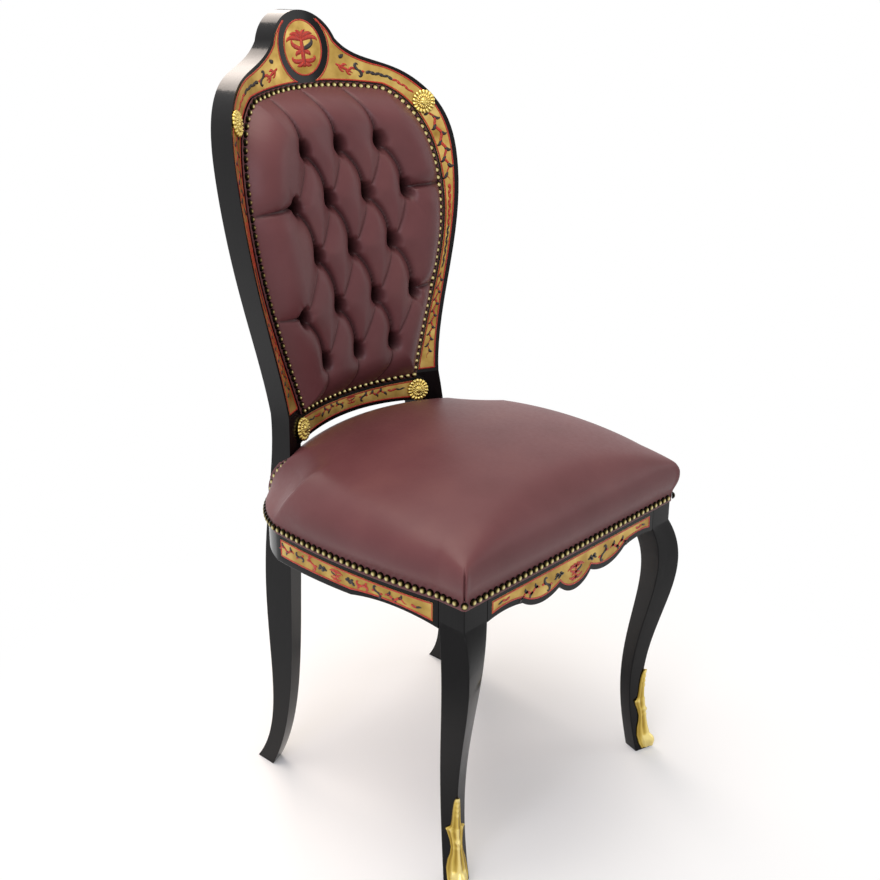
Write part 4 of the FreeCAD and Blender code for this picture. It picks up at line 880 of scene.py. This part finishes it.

# Back pad: hair stuffing under one hide, drawn down by seventeen sewn buttons. The hide folds
# into pleats from button to button and out to the nails, so it swells in long diamonds.
# Cowhide tanned burgundy and waxed: a soft sheen over slow changes of tone, with the pebbled grain
# drawn a little coarser than the real half millimetre. On the back pad the hide is darkened to near
# black in the pits and along the pleats, which is painted shade.
LEATHER_GRAIN = 0.0011
DYE_DRIFT = 0.09
WRINKLE = 0.006
leather, tree, surface, place = new_finish("burgundy_hide")
creased = add(tree, "ShaderNodeAttribute", {"attribute_name": "creased"}).outputs["Fac"]
drift = add(tree, "ShaderNodeTexNoise", {"Scale": 1 / DYE_DRIFT, "Detail": 4.0}, {"Vector": place})
pores = add(tree, "ShaderNodeTexVoronoi", {"Scale": 1 / LEATHER_GRAIN}, {"Vector": place})
fine = add(tree, "ShaderNodeTexNoise", {"Scale": 1 / WRINKLE, "Detail": 6.0}, {"Vector": place})
dye = ((0.25, "#5D3435"), (0.5, "#643A3C"), (0.75, "#6B4141"))
tone = add(tree, "ShaderNodeValToRGB", {"stops": dye}, {"Fac": drift})
# Painted shade: the hide goes towards near black where the pad is marked in its pits and creases.
shade_colour_mix = {"data_type": "RGBA", 7: linear("#150A0B")}
dyed_and_shaded = add(tree, "ShaderNodeMix", shade_colour_mix, {0: creased, 6: tone}).outputs[2]
sheen = add(tree, "ShaderNodeMapRange", {"To Min": 0.34, "To Max": 0.5}, {"Value": fine})
wrinkles = add(tree, "ShaderNodeBump", {"Strength": 0.12, "Distance": 0.0006}, {"Height": fine})
grained = {"Height": pores, "Normal": wrinkles}
pebbles = add(tree, "ShaderNodeBump", {"Strength": 0.1, "Distance": 0.0003}, grained)
tanned = {"IOR": 1.46, "Specular IOR Level": 0.3}
fed = {"Base Color": dyed_and_shaded, "Roughness": sheen, "Normal": pebbles}
add(tree, "ShaderNodeBsdfPrincipled", tanned, fed, surface)

BACK_MIDDLE = np.array((0.0, 0.75))
PAD_EDGE = 0.003
PAD_CROWN = 0.058
PAD_FOOT = 0.535
PAD_TALL = 0.425
PAD_HALF = 0.176
PAD_ROLL = 0.052
PAD_FULLNESS = ((0.0, 0.1, 0.25, 0.5, 0.8, 1.0), (0.62, 0.7, 0.82, 1.0, 1.0, 0.92))
NAILED_EDGE = 0.0026
HIDE_MARGIN = 0.0048
HIDE = 0.002
PAD_GRID = 0.0017
TUFT_ROWS = (
    (0.600, (-0.071, -0.003, 0.063)),
    (0.671, (-0.109, -0.033, 0.040, 0.104)),
    (0.746, (-0.067, 0.004, 0.075)),
    (0.817, (-0.101, -0.029, 0.042, 0.106)),
    (0.885, (-0.066, 0.003, 0.073)),
)
PIT_SIZE = (0.0074, 0.0122)
PIT_LEAN = math.radians(14)
PIT_DEPTH = 0.84
DEEPEST = 0.86
SHADE_LINE_WIDTH = 0.0016
SHADE_FREE_RIM = 0.006
SLACK = 0.015

# Each kind of pleat: how deep it is drawn, how far it bows, and the widths of its two flanks.
FALLING_PLEAT = (0.24, -0.0075, 0.0085, 0.0017)
RISING_PLEAT = (0.085, -0.003, 0.0022, 0.0022)
TOP_PLEAT = (0.2, -0.003, 0.006, 0.0022)
FOOT_PLEAT = (0.2, -0.004, 0.002, 0.006)
SIDE_PLEAT = (0.26, 0.003, 0.005, 0.002)
PLEAT_SPAN = 0.056
TOP_LINE, FOOT_LINE, SIDE_LINE = 0.965, 0.53, 0.18

heads = [(base.x, base.z) for base, _ in back_heads]
outline = np.array(sorted(heads, key=lambda p: math.atan2(p[1] - BACK_MIDDLE[1], p[0])))


def signed_distance(points, ring):
    """Distance of each point to a closed line, positive inside it."""
    ends = np.roll(ring, -1, axis=0)
    runs = ends - ring
    best = np.full(len(points), np.inf)
    inside = np.zeros(len(points), bool)
    for a, b, run in zip(ring, ends, runs):
        rel = points - a
        t = np.clip(rel @ run / (run @ run), 0, 1)
        best = np.minimum(best, np.linalg.norm(rel - t[:, None] * run, axis=1))
        crosses = (a[1] > points[:, 1]) != (b[1] > points[:, 1])
        level = (points[:, 1] - a[1]) / (b[1] - a[1] if b[1] != a[1] else 1e-9)
        inside ^= crosses & (points[:, 0] < a[0] + level * run[0])
    return np.where(inside, best, -best)


def pad_base(points, inside):
    """How far the stuffed pad stands in front of the wood, before it is buttoned."""
    full = np.interp((points[:, 1] - PAD_FOOT) / PAD_TALL, *PAD_FULLNESS)
    lateral = 1 - 0.38 * (points[:, 0] / PAD_HALF) ** 2
    roll = 1 - (1 - np.clip(inside / PAD_ROLL, 0, 1)) ** 2.3
    return PAD_EDGE + (PAD_CROWN - PAD_EDGE) * full * lateral * roll


def pleat_lines():
    """Pleats between buttons and out to the nails: the two ends of each, and its kind."""
    lines = []
    for (z0, row0), (z1, row1) in zip(TUFT_ROWS, TUFT_ROWS[1:]):
        for x0 in row0:
            for x1 in row1:
                if abs(x1 - x0) < PLEAT_SPAN:
                    lines.append(((x0, z0), (x1, z1), FALLING_PLEAT if x1 < x0 else RISING_PLEAT))
    z, row = TUFT_ROWS[-1]
    lines += [((x, z), (x - 0.026, TOP_LINE), TOP_PLEAT) for x in row]
    z, row = TUFT_ROWS[0]
    lines += [((x * 0.88 - 0.018, FOOT_LINE), (x, z), FOOT_PLEAT) for x in row]
    for z, row in TUFT_ROWS[1::2]:
        lines.append(((-SIDE_LINE, z - 0.004), (row[0], z), SIDE_PLEAT))
        lines.append(((row[-1], z), (SIDE_LINE, z - 0.002), SIDE_PLEAT))
    return lines


def buttoned(points, base):
    """Lift of the pad once buttons and pleats draw it down, and how much painted shade each point
    takes.
    """
    pull, sunk, shade_depth = (np.zeros(len(points)) for _ in range(3))
    for (x0, z0), (x1, z1), (strength, bow, left, right) in pleat_lines():
        run = np.array((x1 - x0, z1 - z0))
        length = np.linalg.norm(run)
        rel = points - (x0, z0)
        t = rel @ run / length**2
        along = np.clip(t, 0, 1)
        normal = np.array((-run[1], run[0])) / length
        aside = rel @ normal - bow * np.sin(math.pi * along)
        near = np.hypot(aside, (t - along) * length)
        width = np.where(aside > 0, left, right)
        depth = strength * (0.8 + 0.9 * (2 * along - 1) ** 2)
        pull += (depth * np.exp(-near / width)) ** 3
        sunk += (0.1 * np.exp(-((near / SLACK) ** 2))) ** 4
        # A thin line of painted shade along each pleat.
        shade_depth = np.maximum(shade_depth, 3 * strength * np.exp(-((near / SHADE_LINE_WIDTH) ** 2)))
    for z, row in TUFT_ROWS:
        for x in row:
            rel = points - (x, z)
            wide = rel @ (math.cos(PIT_LEAN), math.sin(PIT_LEAN))
            tall = rel @ (-math.sin(PIT_LEAN), math.cos(PIT_LEAN))
            reach = np.hypot(wide / PIT_SIZE[0], tall / PIT_SIZE[1])
            pull += (PIT_DEPTH * np.exp(-(reach**2.8))) ** 3
            sunk += (0.13 * np.exp(-((reach / 2.2) ** 2))) ** 4
            # Painted shade fills each pit round its button.
            shade_depth = np.maximum(shade_depth, np.exp(-((reach / 1.2) ** 4)))
    drawn = base * (1 - np.minimum(pull ** (1 / 3), DEEPEST)) * (1 - sunk**0.25)
    return drawn, 0.9 * np.clip(shade_depth, 0, 1)


def clipped_grid(ring, margin, spacing):
    """Grid over a closed line grown by a margin, with its rim drawn onto that line."""
    low, high = ring.min(0) - margin - spacing, ring.max(0) + margin + spacing
    xs = np.arange(low[0], high[0] + spacing, spacing)
    zs = np.arange(low[1], high[1] + spacing, spacing)
    grid = np.array([(x, z) for z in zs for x in xs])
    inside = signed_distance(grid, ring) + margin
    keep = inside > -0.72 * spacing
    for _ in range(3):
        out = np.where(inside < 0)[0]
        out = out[keep[out]]
        step = 0.25 * spacing
        slope = np.stack(
            [
                signed_distance(grid[out] + way, ring) - signed_distance(grid[out] - way, ring)
                for way in ((step, 0), (0, step))
            ],
            axis=1,
        )
        slope /= np.maximum(np.linalg.norm(slope, axis=1), 1e-9)[:, None]
        grid[out] -= slope * inside[out][:, None]
        inside[out] = signed_distance(grid[out], ring) + margin
    number = -np.ones(len(grid), int)
    number[keep] = np.arange(keep.sum())
    faces = []
    for corners in sheet_faces(len(zs), len(xs)):
        kept = [number[c] for c in corners if keep[c]]
        if len(kept) >= 3:
            faces.append(tuple(int(k) for k in kept))
    return grid[keep], faces


plan, faces = clipped_grid(outline, HIDE_MARGIN, PAD_GRID)
inside = signed_distance(plan, outline)
lift, creased = buttoned(plan, pad_base(plan, np.maximum(inside, 0)))
lift = np.where(inside > 0, np.maximum(lift, PAD_EDGE), NAILED_EDGE)
points = [hollow(x, z, h) for (x, z), h in zip(plan, lift)]
back_pad = mesh_piece("tufted_back_pad", points, faces, [leather])
# Painted shade in the pits and along the pleats, kept off the rim by the nails.
mark(back_pad, "creased", np.where(inside > SHADE_FREE_RIM, creased, 0.0))
thicken(back_pad, "hide_thickness", HIDE, INWARD)
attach(back_pad, "root")
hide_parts("back_cover", "back_stuffing")

# Buttons: wooden moulds covered in the same hide, sewn through the pad.
# Each sits at the bottom of its pit, with only its small dome in view.
BUTTON_RADIUS = 0.0062
BUTTON_PROFILE = (
    (1.0, 0.0, 0.2), (0.96, 0.0016, 0.4), (0.8, 0.003, 0.7), (0.5, 0.004, 0.9), (0.2, 0.0044, 1.0),
)
BUTTON_TOP = 0.0045
BUTTON_SIDES = 20
BUTTON_SUNK = 0.001
BUTTON_LOWEST = 0.004
seats = []
for z, row in TUFT_ROWS:
    for x in row:
        spot = np.array([(x, z)])
        bottom = buttoned(spot, pad_base(spot, np.maximum(signed_distance(spot, outline), 0)))[0][0]
        seats.append((hollow(x, z, max(bottom - BUTTON_SUNK, BUTTON_LOWEST)), hollow_normal(x)))
turned = (BUTTON_RADIUS, BUTTON_PROFILE, BUTTON_TOP, BUTTON_SIDES)
buttons = domes("back_button_heads", seats, *turned, leather)
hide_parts("back_buttons")

# Outside back: one plain hide over thin wadding, turned in at its edge and tacked to the frame.
# Webbing and canvas lie behind it and carry the stuffing.
OUTSIDE_LIFT = -0.0343
WADDING = 0.004
EDGE_TURN = 0.06
TACKED_EDGE = 0.0004
RING_SHARES = (1.0, 0.995, 0.985, 0.97, 0.95, 0.92, 0.88, 0.82, 0.74, 0.64, 0.52, 0.38, 0.24, 0.1)
points = []
for share in RING_SHARES:
    for x, z in BACK_MIDDLE + share * (outline - BACK_MIDDLE):
        bulge = WADDING * (1 - math.exp(-(1 - share) / EDGE_TURN)) + TACKED_EDGE
        points.append(hollow(x, z, OUTSIDE_LIFT - bulge))
points.append(hollow(*BACK_MIDDLE, OUTSIDE_LIFT - WADDING))
faces = [tuple(reversed(f)) for f in ring_faces(len(RING_SHARES), len(outline))]
outside = mesh_piece("outside_back_hide", points, faces, [leather])
thicken(outside, "hide_thickness", HIDE, INWARD)
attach(outside, "root")
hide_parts("outside_back_cover", "back_canvas", "back_webbing")

# Seat webbing: jute straps woven over and under each other and tacked to the tops of the rails.
# They carry the canvas and the stuffing, and show from below.
# Woven jute: dull, fawn, with coarse threads crossing about 2 mm apart. A wave pattern has
# about 3.1 bands to the unit of its scale.
THREAD = 0.0022
WAVE_BANDS = 3.1
jute, tree, surface, place = new_finish("jute_webbing")
bands = {}
for socket, way in enumerate("XY"):
    spun = {"bands_direction": way, "Scale": 1 / THREAD / WAVE_BANDS, "Distortion": 1.0}
    bands[socket] = add(tree, "ShaderNodeTexWave", spun, {"Vector": place}).outputs["Fac"]
weave = add(tree, "ShaderNodeMath", {"operation": "MULTIPLY"}, bands)
fawn = ((0.0, "#5C4526"), (0.5, "#8F7347"), (1.0, "#AD905F"))
tone = add(tree, "ShaderNodeValToRGB", {"stops": fawn}, {"Fac": weave})
threads = add(tree, "ShaderNodeBump", {"Strength": 0.6, "Distance": 0.0006}, {"Height": weave})
fibrous = {"Roughness": 0.9, "Sheen Weight": 0.2}
add(tree, "ShaderNodeBsdfPrincipled", fibrous, {"Base Color": tone, "Normal": threads}, surface)

FRONT = -0.263
SEAT_DEPTH = 0.451
HALF = 0.217
STRAPS = 5
STRAP_WIDTH = 0.048
STRAP_THICKNESS = 0.001
STRAP_STEPS = 60
STRAP_ACROSS = (-1, -0.5, 0, 0.5, 1)
STRAP_LIFT = 0.0012
STRAP_WAVE = 0.0006
STRAP_HALF = 0.21
STRAP_FRONT, STRAP_REAR, STRAP_BY_POST = -0.255, 0.14, 0.1
BETWEEN_POSTS = 0.12
strap_y = [FRONT + SEAT_DEPTH * (i + 0.5) / STRAPS for i in range(STRAPS)]
strap_x = [2 * HALF * ((i + 0.5) / STRAPS - 0.5) for i in range(STRAPS)]
points, faces = [], []


def strap(start, end, aside, wave):
    """One woven strap between two points of the plan."""
    faces.extend(sheet_faces(STRAP_STEPS + 1, len(STRAP_ACROSS), len(points)))
    for k in range(STRAP_STEPS + 1):
        p = start.lerp(end, k / STRAP_STEPS)
        height = RAIL_TOP + STRAP_LIFT + STRAP_WAVE * wave(p)
        for edge in STRAP_ACROSS:
            points.append(Vector((p.x, p.y, height)) + aside * (edge * STRAP_WIDTH / 2))


pitch_x = 2 * HALF / STRAPS
pitch_y = SEAT_DEPTH / STRAPS
for i, y in enumerate(strap_y[:-1]):
    strap(
        Vector((-STRAP_HALF, y, 0)), Vector((STRAP_HALF, y, 0)), Vector((0, 1, 0)),
        lambda p, i=i: math.cos(math.pi * (p.x - strap_x[0]) / pitch_x) * (-1) ** i,
    )
for i, x in enumerate(strap_x):
    end = STRAP_REAR if abs(x) < BETWEEN_POSTS else STRAP_BY_POST
    strap(
        Vector((x, STRAP_FRONT, 0)), Vector((x, end, 0)), Vector((-1, 0, 0)),
        lambda p, i=i: -math.cos(math.pi * (p.y - strap_y[0]) / pitch_y) * (-1) ** i,
    )
webbing = mesh_piece("seat_webbing_straps", points, faces, [jute])
thicken(webbing, "strap_thickness", STRAP_THICKNESS, BOTH_WAYS)
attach(webbing, "root")
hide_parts("seat_webbing")

# Seat canvas: coarse hessian stretched over the webbing, with the stuffing sewn down on it.
# It shows between the straps from below.
# Hessian: loosely woven jute, dry and matt, with dark gaps between knotty threads. The knots are
# drawn 1.8 mm apart, coarser than real thread, so that they show.
THREAD_KNOT = 0.0018
hessian, tree, surface, place = new_finish("hessian")
knots = add(tree, "ShaderNodeTexVoronoi", {"Scale": 1 / THREAD_KNOT}, {"Vector": place})
fawn = ((0.0, "#A48A60"), (0.5, "#836A43"), (1.0, "#4F3D24"))
tone = add(tree, "ShaderNodeValToRGB", {"stops": fawn}, {"Fac": knots})
threads = add(tree, "ShaderNodeBump", {"Strength": 0.5, "Distance": 0.0005}, {"Height": knots})
fed = {"Base Color": tone, "Normal": threads}
add(tree, "ShaderNodeBsdfPrincipled", {"Roughness": 0.95}, fed, surface)

CROWN_Y = -0.068
SIDE_POINTS = ((-0.217, -0.221), (-0.2325, -0.083), (-0.228, 0.063), (-0.207, 0.105), (-0.161, 0.149))
REAR_Y = 0.188
CORNER = 0.0042
ROLL_RISE = 0.047
SIDE_DRAW, TURN_DRAW = (0.26, 0.6), (0.72, 0.66)
TAIL_DRAW, REAR_DRAW = 0.66, 0.5
CANVAS_SHARE = 0.985
CANVAS_GRID = 0.012
CANVAS_LIFT = 0.003
CANVAS_THICKNESS = 0.0006
POST_NOTCH = (0.125, 0.1)


def arc_points(a, b, c, count):
    """Points along the arc through three points of the plan."""
    (ax, ay), (bx, by), (cx, cy) = a, b, c
    d = 2 * (ax * (by - cy) + bx * (cy - ay) + cx * (ay - by))
    aa, bb, cc = ax * ax + ay * ay, bx * bx + by * by, cx * cx + cy * cy
    ux = (aa * (by - cy) + bb * (cy - ay) + cc * (ay - by)) / d
    uy = (aa * (cx - bx) + bb * (ax - cx) + cc * (bx - ax)) / d
    radius = math.hypot(ax - ux, ay - uy)
    first, through, last = (math.atan2(p[1] - uy, p[0] - ux) for p in (a, b, c))
    span = (last - first) % (2 * math.pi)
    if (through - first) % (2 * math.pi) > span:
        span -= 2 * math.pi
    turns = [first + span * k / count for k in range(count)]
    return [(ux + radius * math.cos(t), uy + radius * math.sin(t)) for t in turns]


def line_points(a, b, count):
    """Points along the straight line between two points of the plan."""
    run = (b[0] - a[0], b[1] - a[1])
    return [(a[0] + run[0] * k / count, a[1] + run[1] * k / count) for k in range(count)]


def seat_plan(rise):
    """Closed plan of the seat at a rise over the rails, from the front left corner round by the
    left side. Higher up, the rear is drawn forward and the hide leans in along the back posts."""
    lean = min(max(rise, 0.0), ROLL_RISE)
    start, bow, end, turn, tail = SIDE_POINTS
    end = (end[0] + SIDE_DRAW[0] * lean, end[1] - SIDE_DRAW[1] * lean)
    turn = (turn[0] + TURN_DRAW[0] * lean, turn[1] - TURN_DRAW[1] * lean)
    tail = (tail[0], tail[1] - TAIL_DRAW * lean * lean / ROLL_RISE)
    rear = (0.0, REAR_Y - REAR_DRAW * lean)
    bend = (-HALF + 0.3 * CORNER, FRONT + 0.3 * CORNER)
    front_end, side_start = (-HALF + CORNER, FRONT), (-HALF, FRONT + CORNER)
    next_side, next_front = (-HALF, FRONT + 4 * CORNER), (-HALF + 4 * CORNER, FRONT)
    half = arc_points(front_end, bend, side_start, 10)
    half += line_points(side_start, next_side, 8) + line_points(next_side, start, 6)
    half += arc_points(start, bow, end, 46) + arc_points(end, turn, tail, 24)
    half += arc_points(tail, rear, (-tail[0], tail[1]), 80)[:40]
    front = line_points((0.0, FRONT), next_front, 34) + line_points(next_front, front_end, 8)
    other = [(-x, y) for x, y in front + half]
    return np.array(half + [rear] + list(reversed(other[1:])) + front)


plan_ring = seat_plan(0.0)
seat_middle = np.array((0.0, CROWN_Y))
inner_ring = seat_middle + CANVAS_SHARE * (plan_ring - seat_middle)
plan, faces = clipped_grid(inner_ring, 0.0, CANVAS_GRID)
clear = [not (abs(x) > POST_NOTCH[0] and y > POST_NOTCH[1]) for x, y in plan]
faces = [f for f in faces if all(clear[i] for i in f)]
used = sorted({i for f in faces for i in f})
order = {k: i for i, k in enumerate(used)}
points = [(plan[k][0], plan[k][1], RAIL_TOP + CANVAS_LIFT) for k in used]
faces = [tuple(order[i] for i in f) for f in faces]
canvas = mesh_piece("seat_canvas_sheet", points, faces, [hessian])
thicken(canvas, "cloth_thickness", CANVAS_THICKNESS, BOTH_WAYS)
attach(canvas, "root")
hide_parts("seat_canvas")

# Seat: hair stuffing sewn to a high domed shape under one hide, which is drawn down over the
# rails, pleated once at each front corner and nailed. It swells out before it turns in.
# The same burgundy hide as the back. Each ring of it has an inset and a rise over the rails.
SEAT_RINGS = (
    (-0.0008, -0.0166), (-0.0022, -0.017), (-0.0023, -0.0125), (-0.0023, -0.0065), (-0.0026, -0.0015),
    (-0.004, 0.003), (-0.0062, 0.0085), (-0.0082, 0.0155), (-0.009, 0.023), (-0.0086, 0.0305),
    (-0.0068, 0.038), (-0.0038, 0.0448), (0.0006, 0.0512), (0.0065, 0.0577), (0.0135, 0.0642),
    (0.022, 0.0712), (0.033, 0.0795), (0.05, 0.0915), (0.075, 0.109), (0.105, 0.13), (0.14, 0.155),
    (0.175, 0.18), (0.2, 0.198),
)
SEAT_HIDE = 0.0018
SKIRT = -0.0023
SWELL_END = 0.08
DOME_RISE = 0.097
DOME_FALL = (0.45, 2.0)
DOME_FROM = 0.02
SOFT_EDGE = 0.0045
PLEAT_FOOT, PLEAT_TOP = -0.004, 0.046
PLEAT_REACH = 0.016
GROOVE_DEPTH, GROOVE_WIDTH = 0.0042, 0.0012
LIP_HEIGHT, LIP_PLACE, LIP_WIDTH = 0.0016, -0.005, 0.0035


def dome_rise(x, y, ring_rise):
    """Rise of the hide: the rolled edge runs over softly into a shallow dome."""
    away = x * x + (y - CROWN_Y) ** 2
    dome = DOME_RISE - DOME_FALL[0] * away - DOME_FALL[1] * away**2
    low = min(ring_rise, dome)
    return low - SOFT_EDGE * math.log(1 + math.exp(-abs(ring_rise - dome) / SOFT_EDGE))


def rounded_profile(profile, steps):
    """More points along a profile, on a smooth curve through the given ones."""
    ends = [profile[0], *profile, profile[-1]]
    made = []
    for before, a, b, after in zip(ends, ends[1:], ends[2:], ends[3:]):
        for k in range(steps):
            t = k / steps
            outer = (-t + 2 * t**2 - t**3, t**3 - t**2)
            inner = (2 - 5 * t**2 + 3 * t**3, t + 4 * t**2 - 3 * t**3)
            pulls = ((outer[0], before), (inner[0], a), (inner[1], b), (outer[1], after))
            made.append(tuple(sum(w * p[i] for w, p in pulls) / 2 for i in (0, 1)))
    return made + [profile[-1]]


points = []
seat_rings = rounded_profile(SEAT_RINGS, 3)
for inset, ring_rise in seat_rings:
    for x, y in seat_plan(ring_rise):
        swell = min(inset - SKIRT, 0.0) * (1 - min(max(y / SWELL_END, 0.0), 1.0))
        shrink = (HALF - max(inset, SKIRT) - swell) / HALF
        px, py = x * shrink, CROWN_Y + (y - CROWN_Y) * shrink
        beside = (y - FRONT) - (HALF - abs(x))
        tall = 1 - min(max(ring_rise, 0.0) / PLEAT_TOP, 1.0)
        at_pleat = abs(beside) < PLEAT_REACH and ring_rise > PLEAT_FOOT
        folded = min(1.0, 3 * tall) if at_pleat else 0.0
        groove = GROOVE_DEPTH * swelling(beside, 0, GROOVE_WIDTH) * folded
        lip = LIP_HEIGHT * swelling(beside, LIP_PLACE, LIP_WIDTH) * folded
        toward = Vector((-px, CROWN_Y - py)).normalized()
        px += toward.x * (groove - lip)
        py += toward.y * (groove - lip)
        rise = ring_rise if ring_rise < DOME_FROM else dome_rise(px, py, ring_rise)
        points.append((px, py, RAIL_TOP + rise))
points.append((0.0, CROWN_Y, RAIL_TOP + dome_rise(0.0, CROWN_Y, 0.2)))
# Each face is turned over from its second corner on, so that the hide faces outwards.
faces = [f[1::-1] + f[:1:-1] for f in ring_faces(len(seat_rings), len(plan_ring))]

POST_ROOM = 0.0008
POST_WIDTH, POST_SPREAD = 0.032, 0.001
POST_FRONT, POST_SET_BACK, POST_TURN = 0.1129, 0.008, 0.404


def clear_of_posts(point):
    """Move a point of the seat out of the back posts."""
    x, y, z = point
    share = min(max((z - RAIL_TOP) / POST_RISE, 0.0), 1.0)
    outer_face = POST_FACE - POST_DRAW * share
    outer = outer_face + POST_ROOM
    inner = outer_face - POST_WIDTH - POST_SPREAD * share - POST_ROOM
    front = POST_FRONT + POST_SET_BACK * share + (outer_face - abs(x)) * POST_TURN - POST_ROOM
    if not (inner < abs(x) < outer and y > front):
        return point
    moves = (abs(x) - inner, outer - abs(x), y - front)
    best = moves.index(min(moves))
    sign = 1 if x > 0 else -1
    if best == 0:
        return (sign * inner, y, z)
    if best == 1:
        return (sign * outer, y, z)
    return (x, front, z)


points = [clear_of_posts(p) for p in points]
seat = mesh_piece("domed_seat", points, faces, [leather])
thicken(seat, "hide_thickness", SEAT_HIDE, INWARD)
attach(seat, "root")
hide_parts("seat_cover", "seat_stuffing")

# Stage: a plain pale floor, soft light from the ceiling, from the front left and from behind,
# with a weak fill from the right, and the camera at the photograph's place, turn and lens.
# Painted board: matt and nearly white. Away from the chair the camera, gloss and glass see plain
# white, and near it the floor keeps the chair's shadow.
FLOOR_HALF = 6.0
FLOOR_DROP = 0.0005
FLOOR_HAZE = 0.5
WHITE = linear("#FFFFFF")
floor_paint, tree, surface, place = new_finish("pale_floor")
haze = add(tree, "ShaderNodeTexNoise", {"Scale": 1 / FLOOR_HAZE, "Detail": 2.0}, {"Vector": place})
paints = ((0.3, "#F6F6F6"), (0.7, "#FAFAFA"))
tone = add(tree, "ShaderNodeValToRGB", {"stops": paints}, {"Fac": haze})
matt = {"Roughness": 0.7, "Specular IOR Level": 0.2}
board = add(tree, "ShaderNodeBsdfPrincipled", matt, {"Base Color": tone})
away = add(tree, "ShaderNodeVectorMath", {"operation": "LENGTH"}, {0: place}).outputs["Value"]
reach = {"From Min": 0.1, "From Max": 0.8, "interpolation_type": "SMOOTHSTEP"}
fade = add(tree, "ShaderNodeMapRange", reach, {"Value": away})


def seen_rays(tree):
    """Rays by which the background is seen: straight, in gloss and through glass."""
    path = add(tree, "ShaderNodeLightPath").outputs
    eyes = {0: path["Is Camera Ray"], 1: path["Is Glossy Ray"]}
    either = add(tree, "ShaderNodeMath", {"operation": "MAXIMUM"}, eyes)
    through = {0: either, 1: path["Is Transmission Ray"]}
    return add(tree, "ShaderNodeMath", {"operation": "MAXIMUM"}, through)


white = add(tree, "ShaderNodeMath", {"operation": "MULTIPLY"}, {0: seen_rays(tree), 1: fade})
glow = add(tree, "ShaderNodeEmission", {"Color": WHITE, "Strength": 1.0})
add(tree, "ShaderNodeMixShader", None, {0: white, 1: board, 2: glow}, surface)
square = ((-1, -1), (1, -1), (1, 1), (-1, 1))
corners = [(x * FLOOR_HALF, y * FLOOR_HALF, -FLOOR_DROP) for x, y in square]
floor = mesh_piece("studio_floor", corners, [(0, 1, 2, 3)], [floor_paint])

ROOM_LIGHT = 0.44
world = bpy.data.worlds.new("white_studio")
bpy.context.scene.world = world
world.use_nodes = True
tree = world.node_tree
tree.nodes.clear()
horizon = add(tree, "ShaderNodeOutputWorld").inputs["Surface"]
dim = add(tree, "ShaderNodeBackground", {"Color": WHITE, "Strength": ROOM_LIGHT})
white = add(tree, "ShaderNodeBackground", {"Color": WHITE, "Strength": 1.0})
add(tree, "ShaderNodeMixShader", None, {0: seen_rays(tree), 1: dim, 2: white}, horizon)


CHAIR_MIDDLE = Vector((0, 0, 0.55))


def soft_light(name, spot, size, power, tint="#FFFFFF"):
    """A square lamp that faces the middle of the chair."""
    lamp = bpy.data.lights.new(name, "AREA")
    lamp.color = linear(tint)[:3]
    lamp.size = size
    lamp.energy = power
    holder = bpy.data.objects.new(name, lamp)
    holder.location = spot
    holder.rotation_euler = (CHAIR_MIDDLE - Vector(spot)).to_track_quat("-Z", "Y").to_euler()
    bpy.context.scene.collection.objects.link(holder)


soft_light("ceiling_panel", (-0.4, 0.35, 3.0), 2.0, 52, "#FFF2E6")
soft_light("key_window", (-2.7, -1.2, 2.2), 1.6, 38, "#F2F0FF")
soft_light("fill_right", (2.6, -2.2, 1.6), 1.2, 8)
soft_light("rear_window", (0.85, 2.3, 2.5), 1.6, 46, "#FFF0E4")

camera = bpy.data.cameras.new("photo_camera")
camera.lens = 51.14
camera.sensor_width = 36.0
camera_holder = bpy.data.objects.new("photo_camera", camera)
camera_holder.location = (-1.1822, -1.1223, 1.1356)
camera_holder.rotation_euler = (math.radians(68.59), 0.0, math.radians(-47.05))
bpy.context.scene.collection.objects.link(camera_holder)
bpy.context.scene.camera = camera_holder
bpy.context.scene.view_settings.view_transform = "Standard"
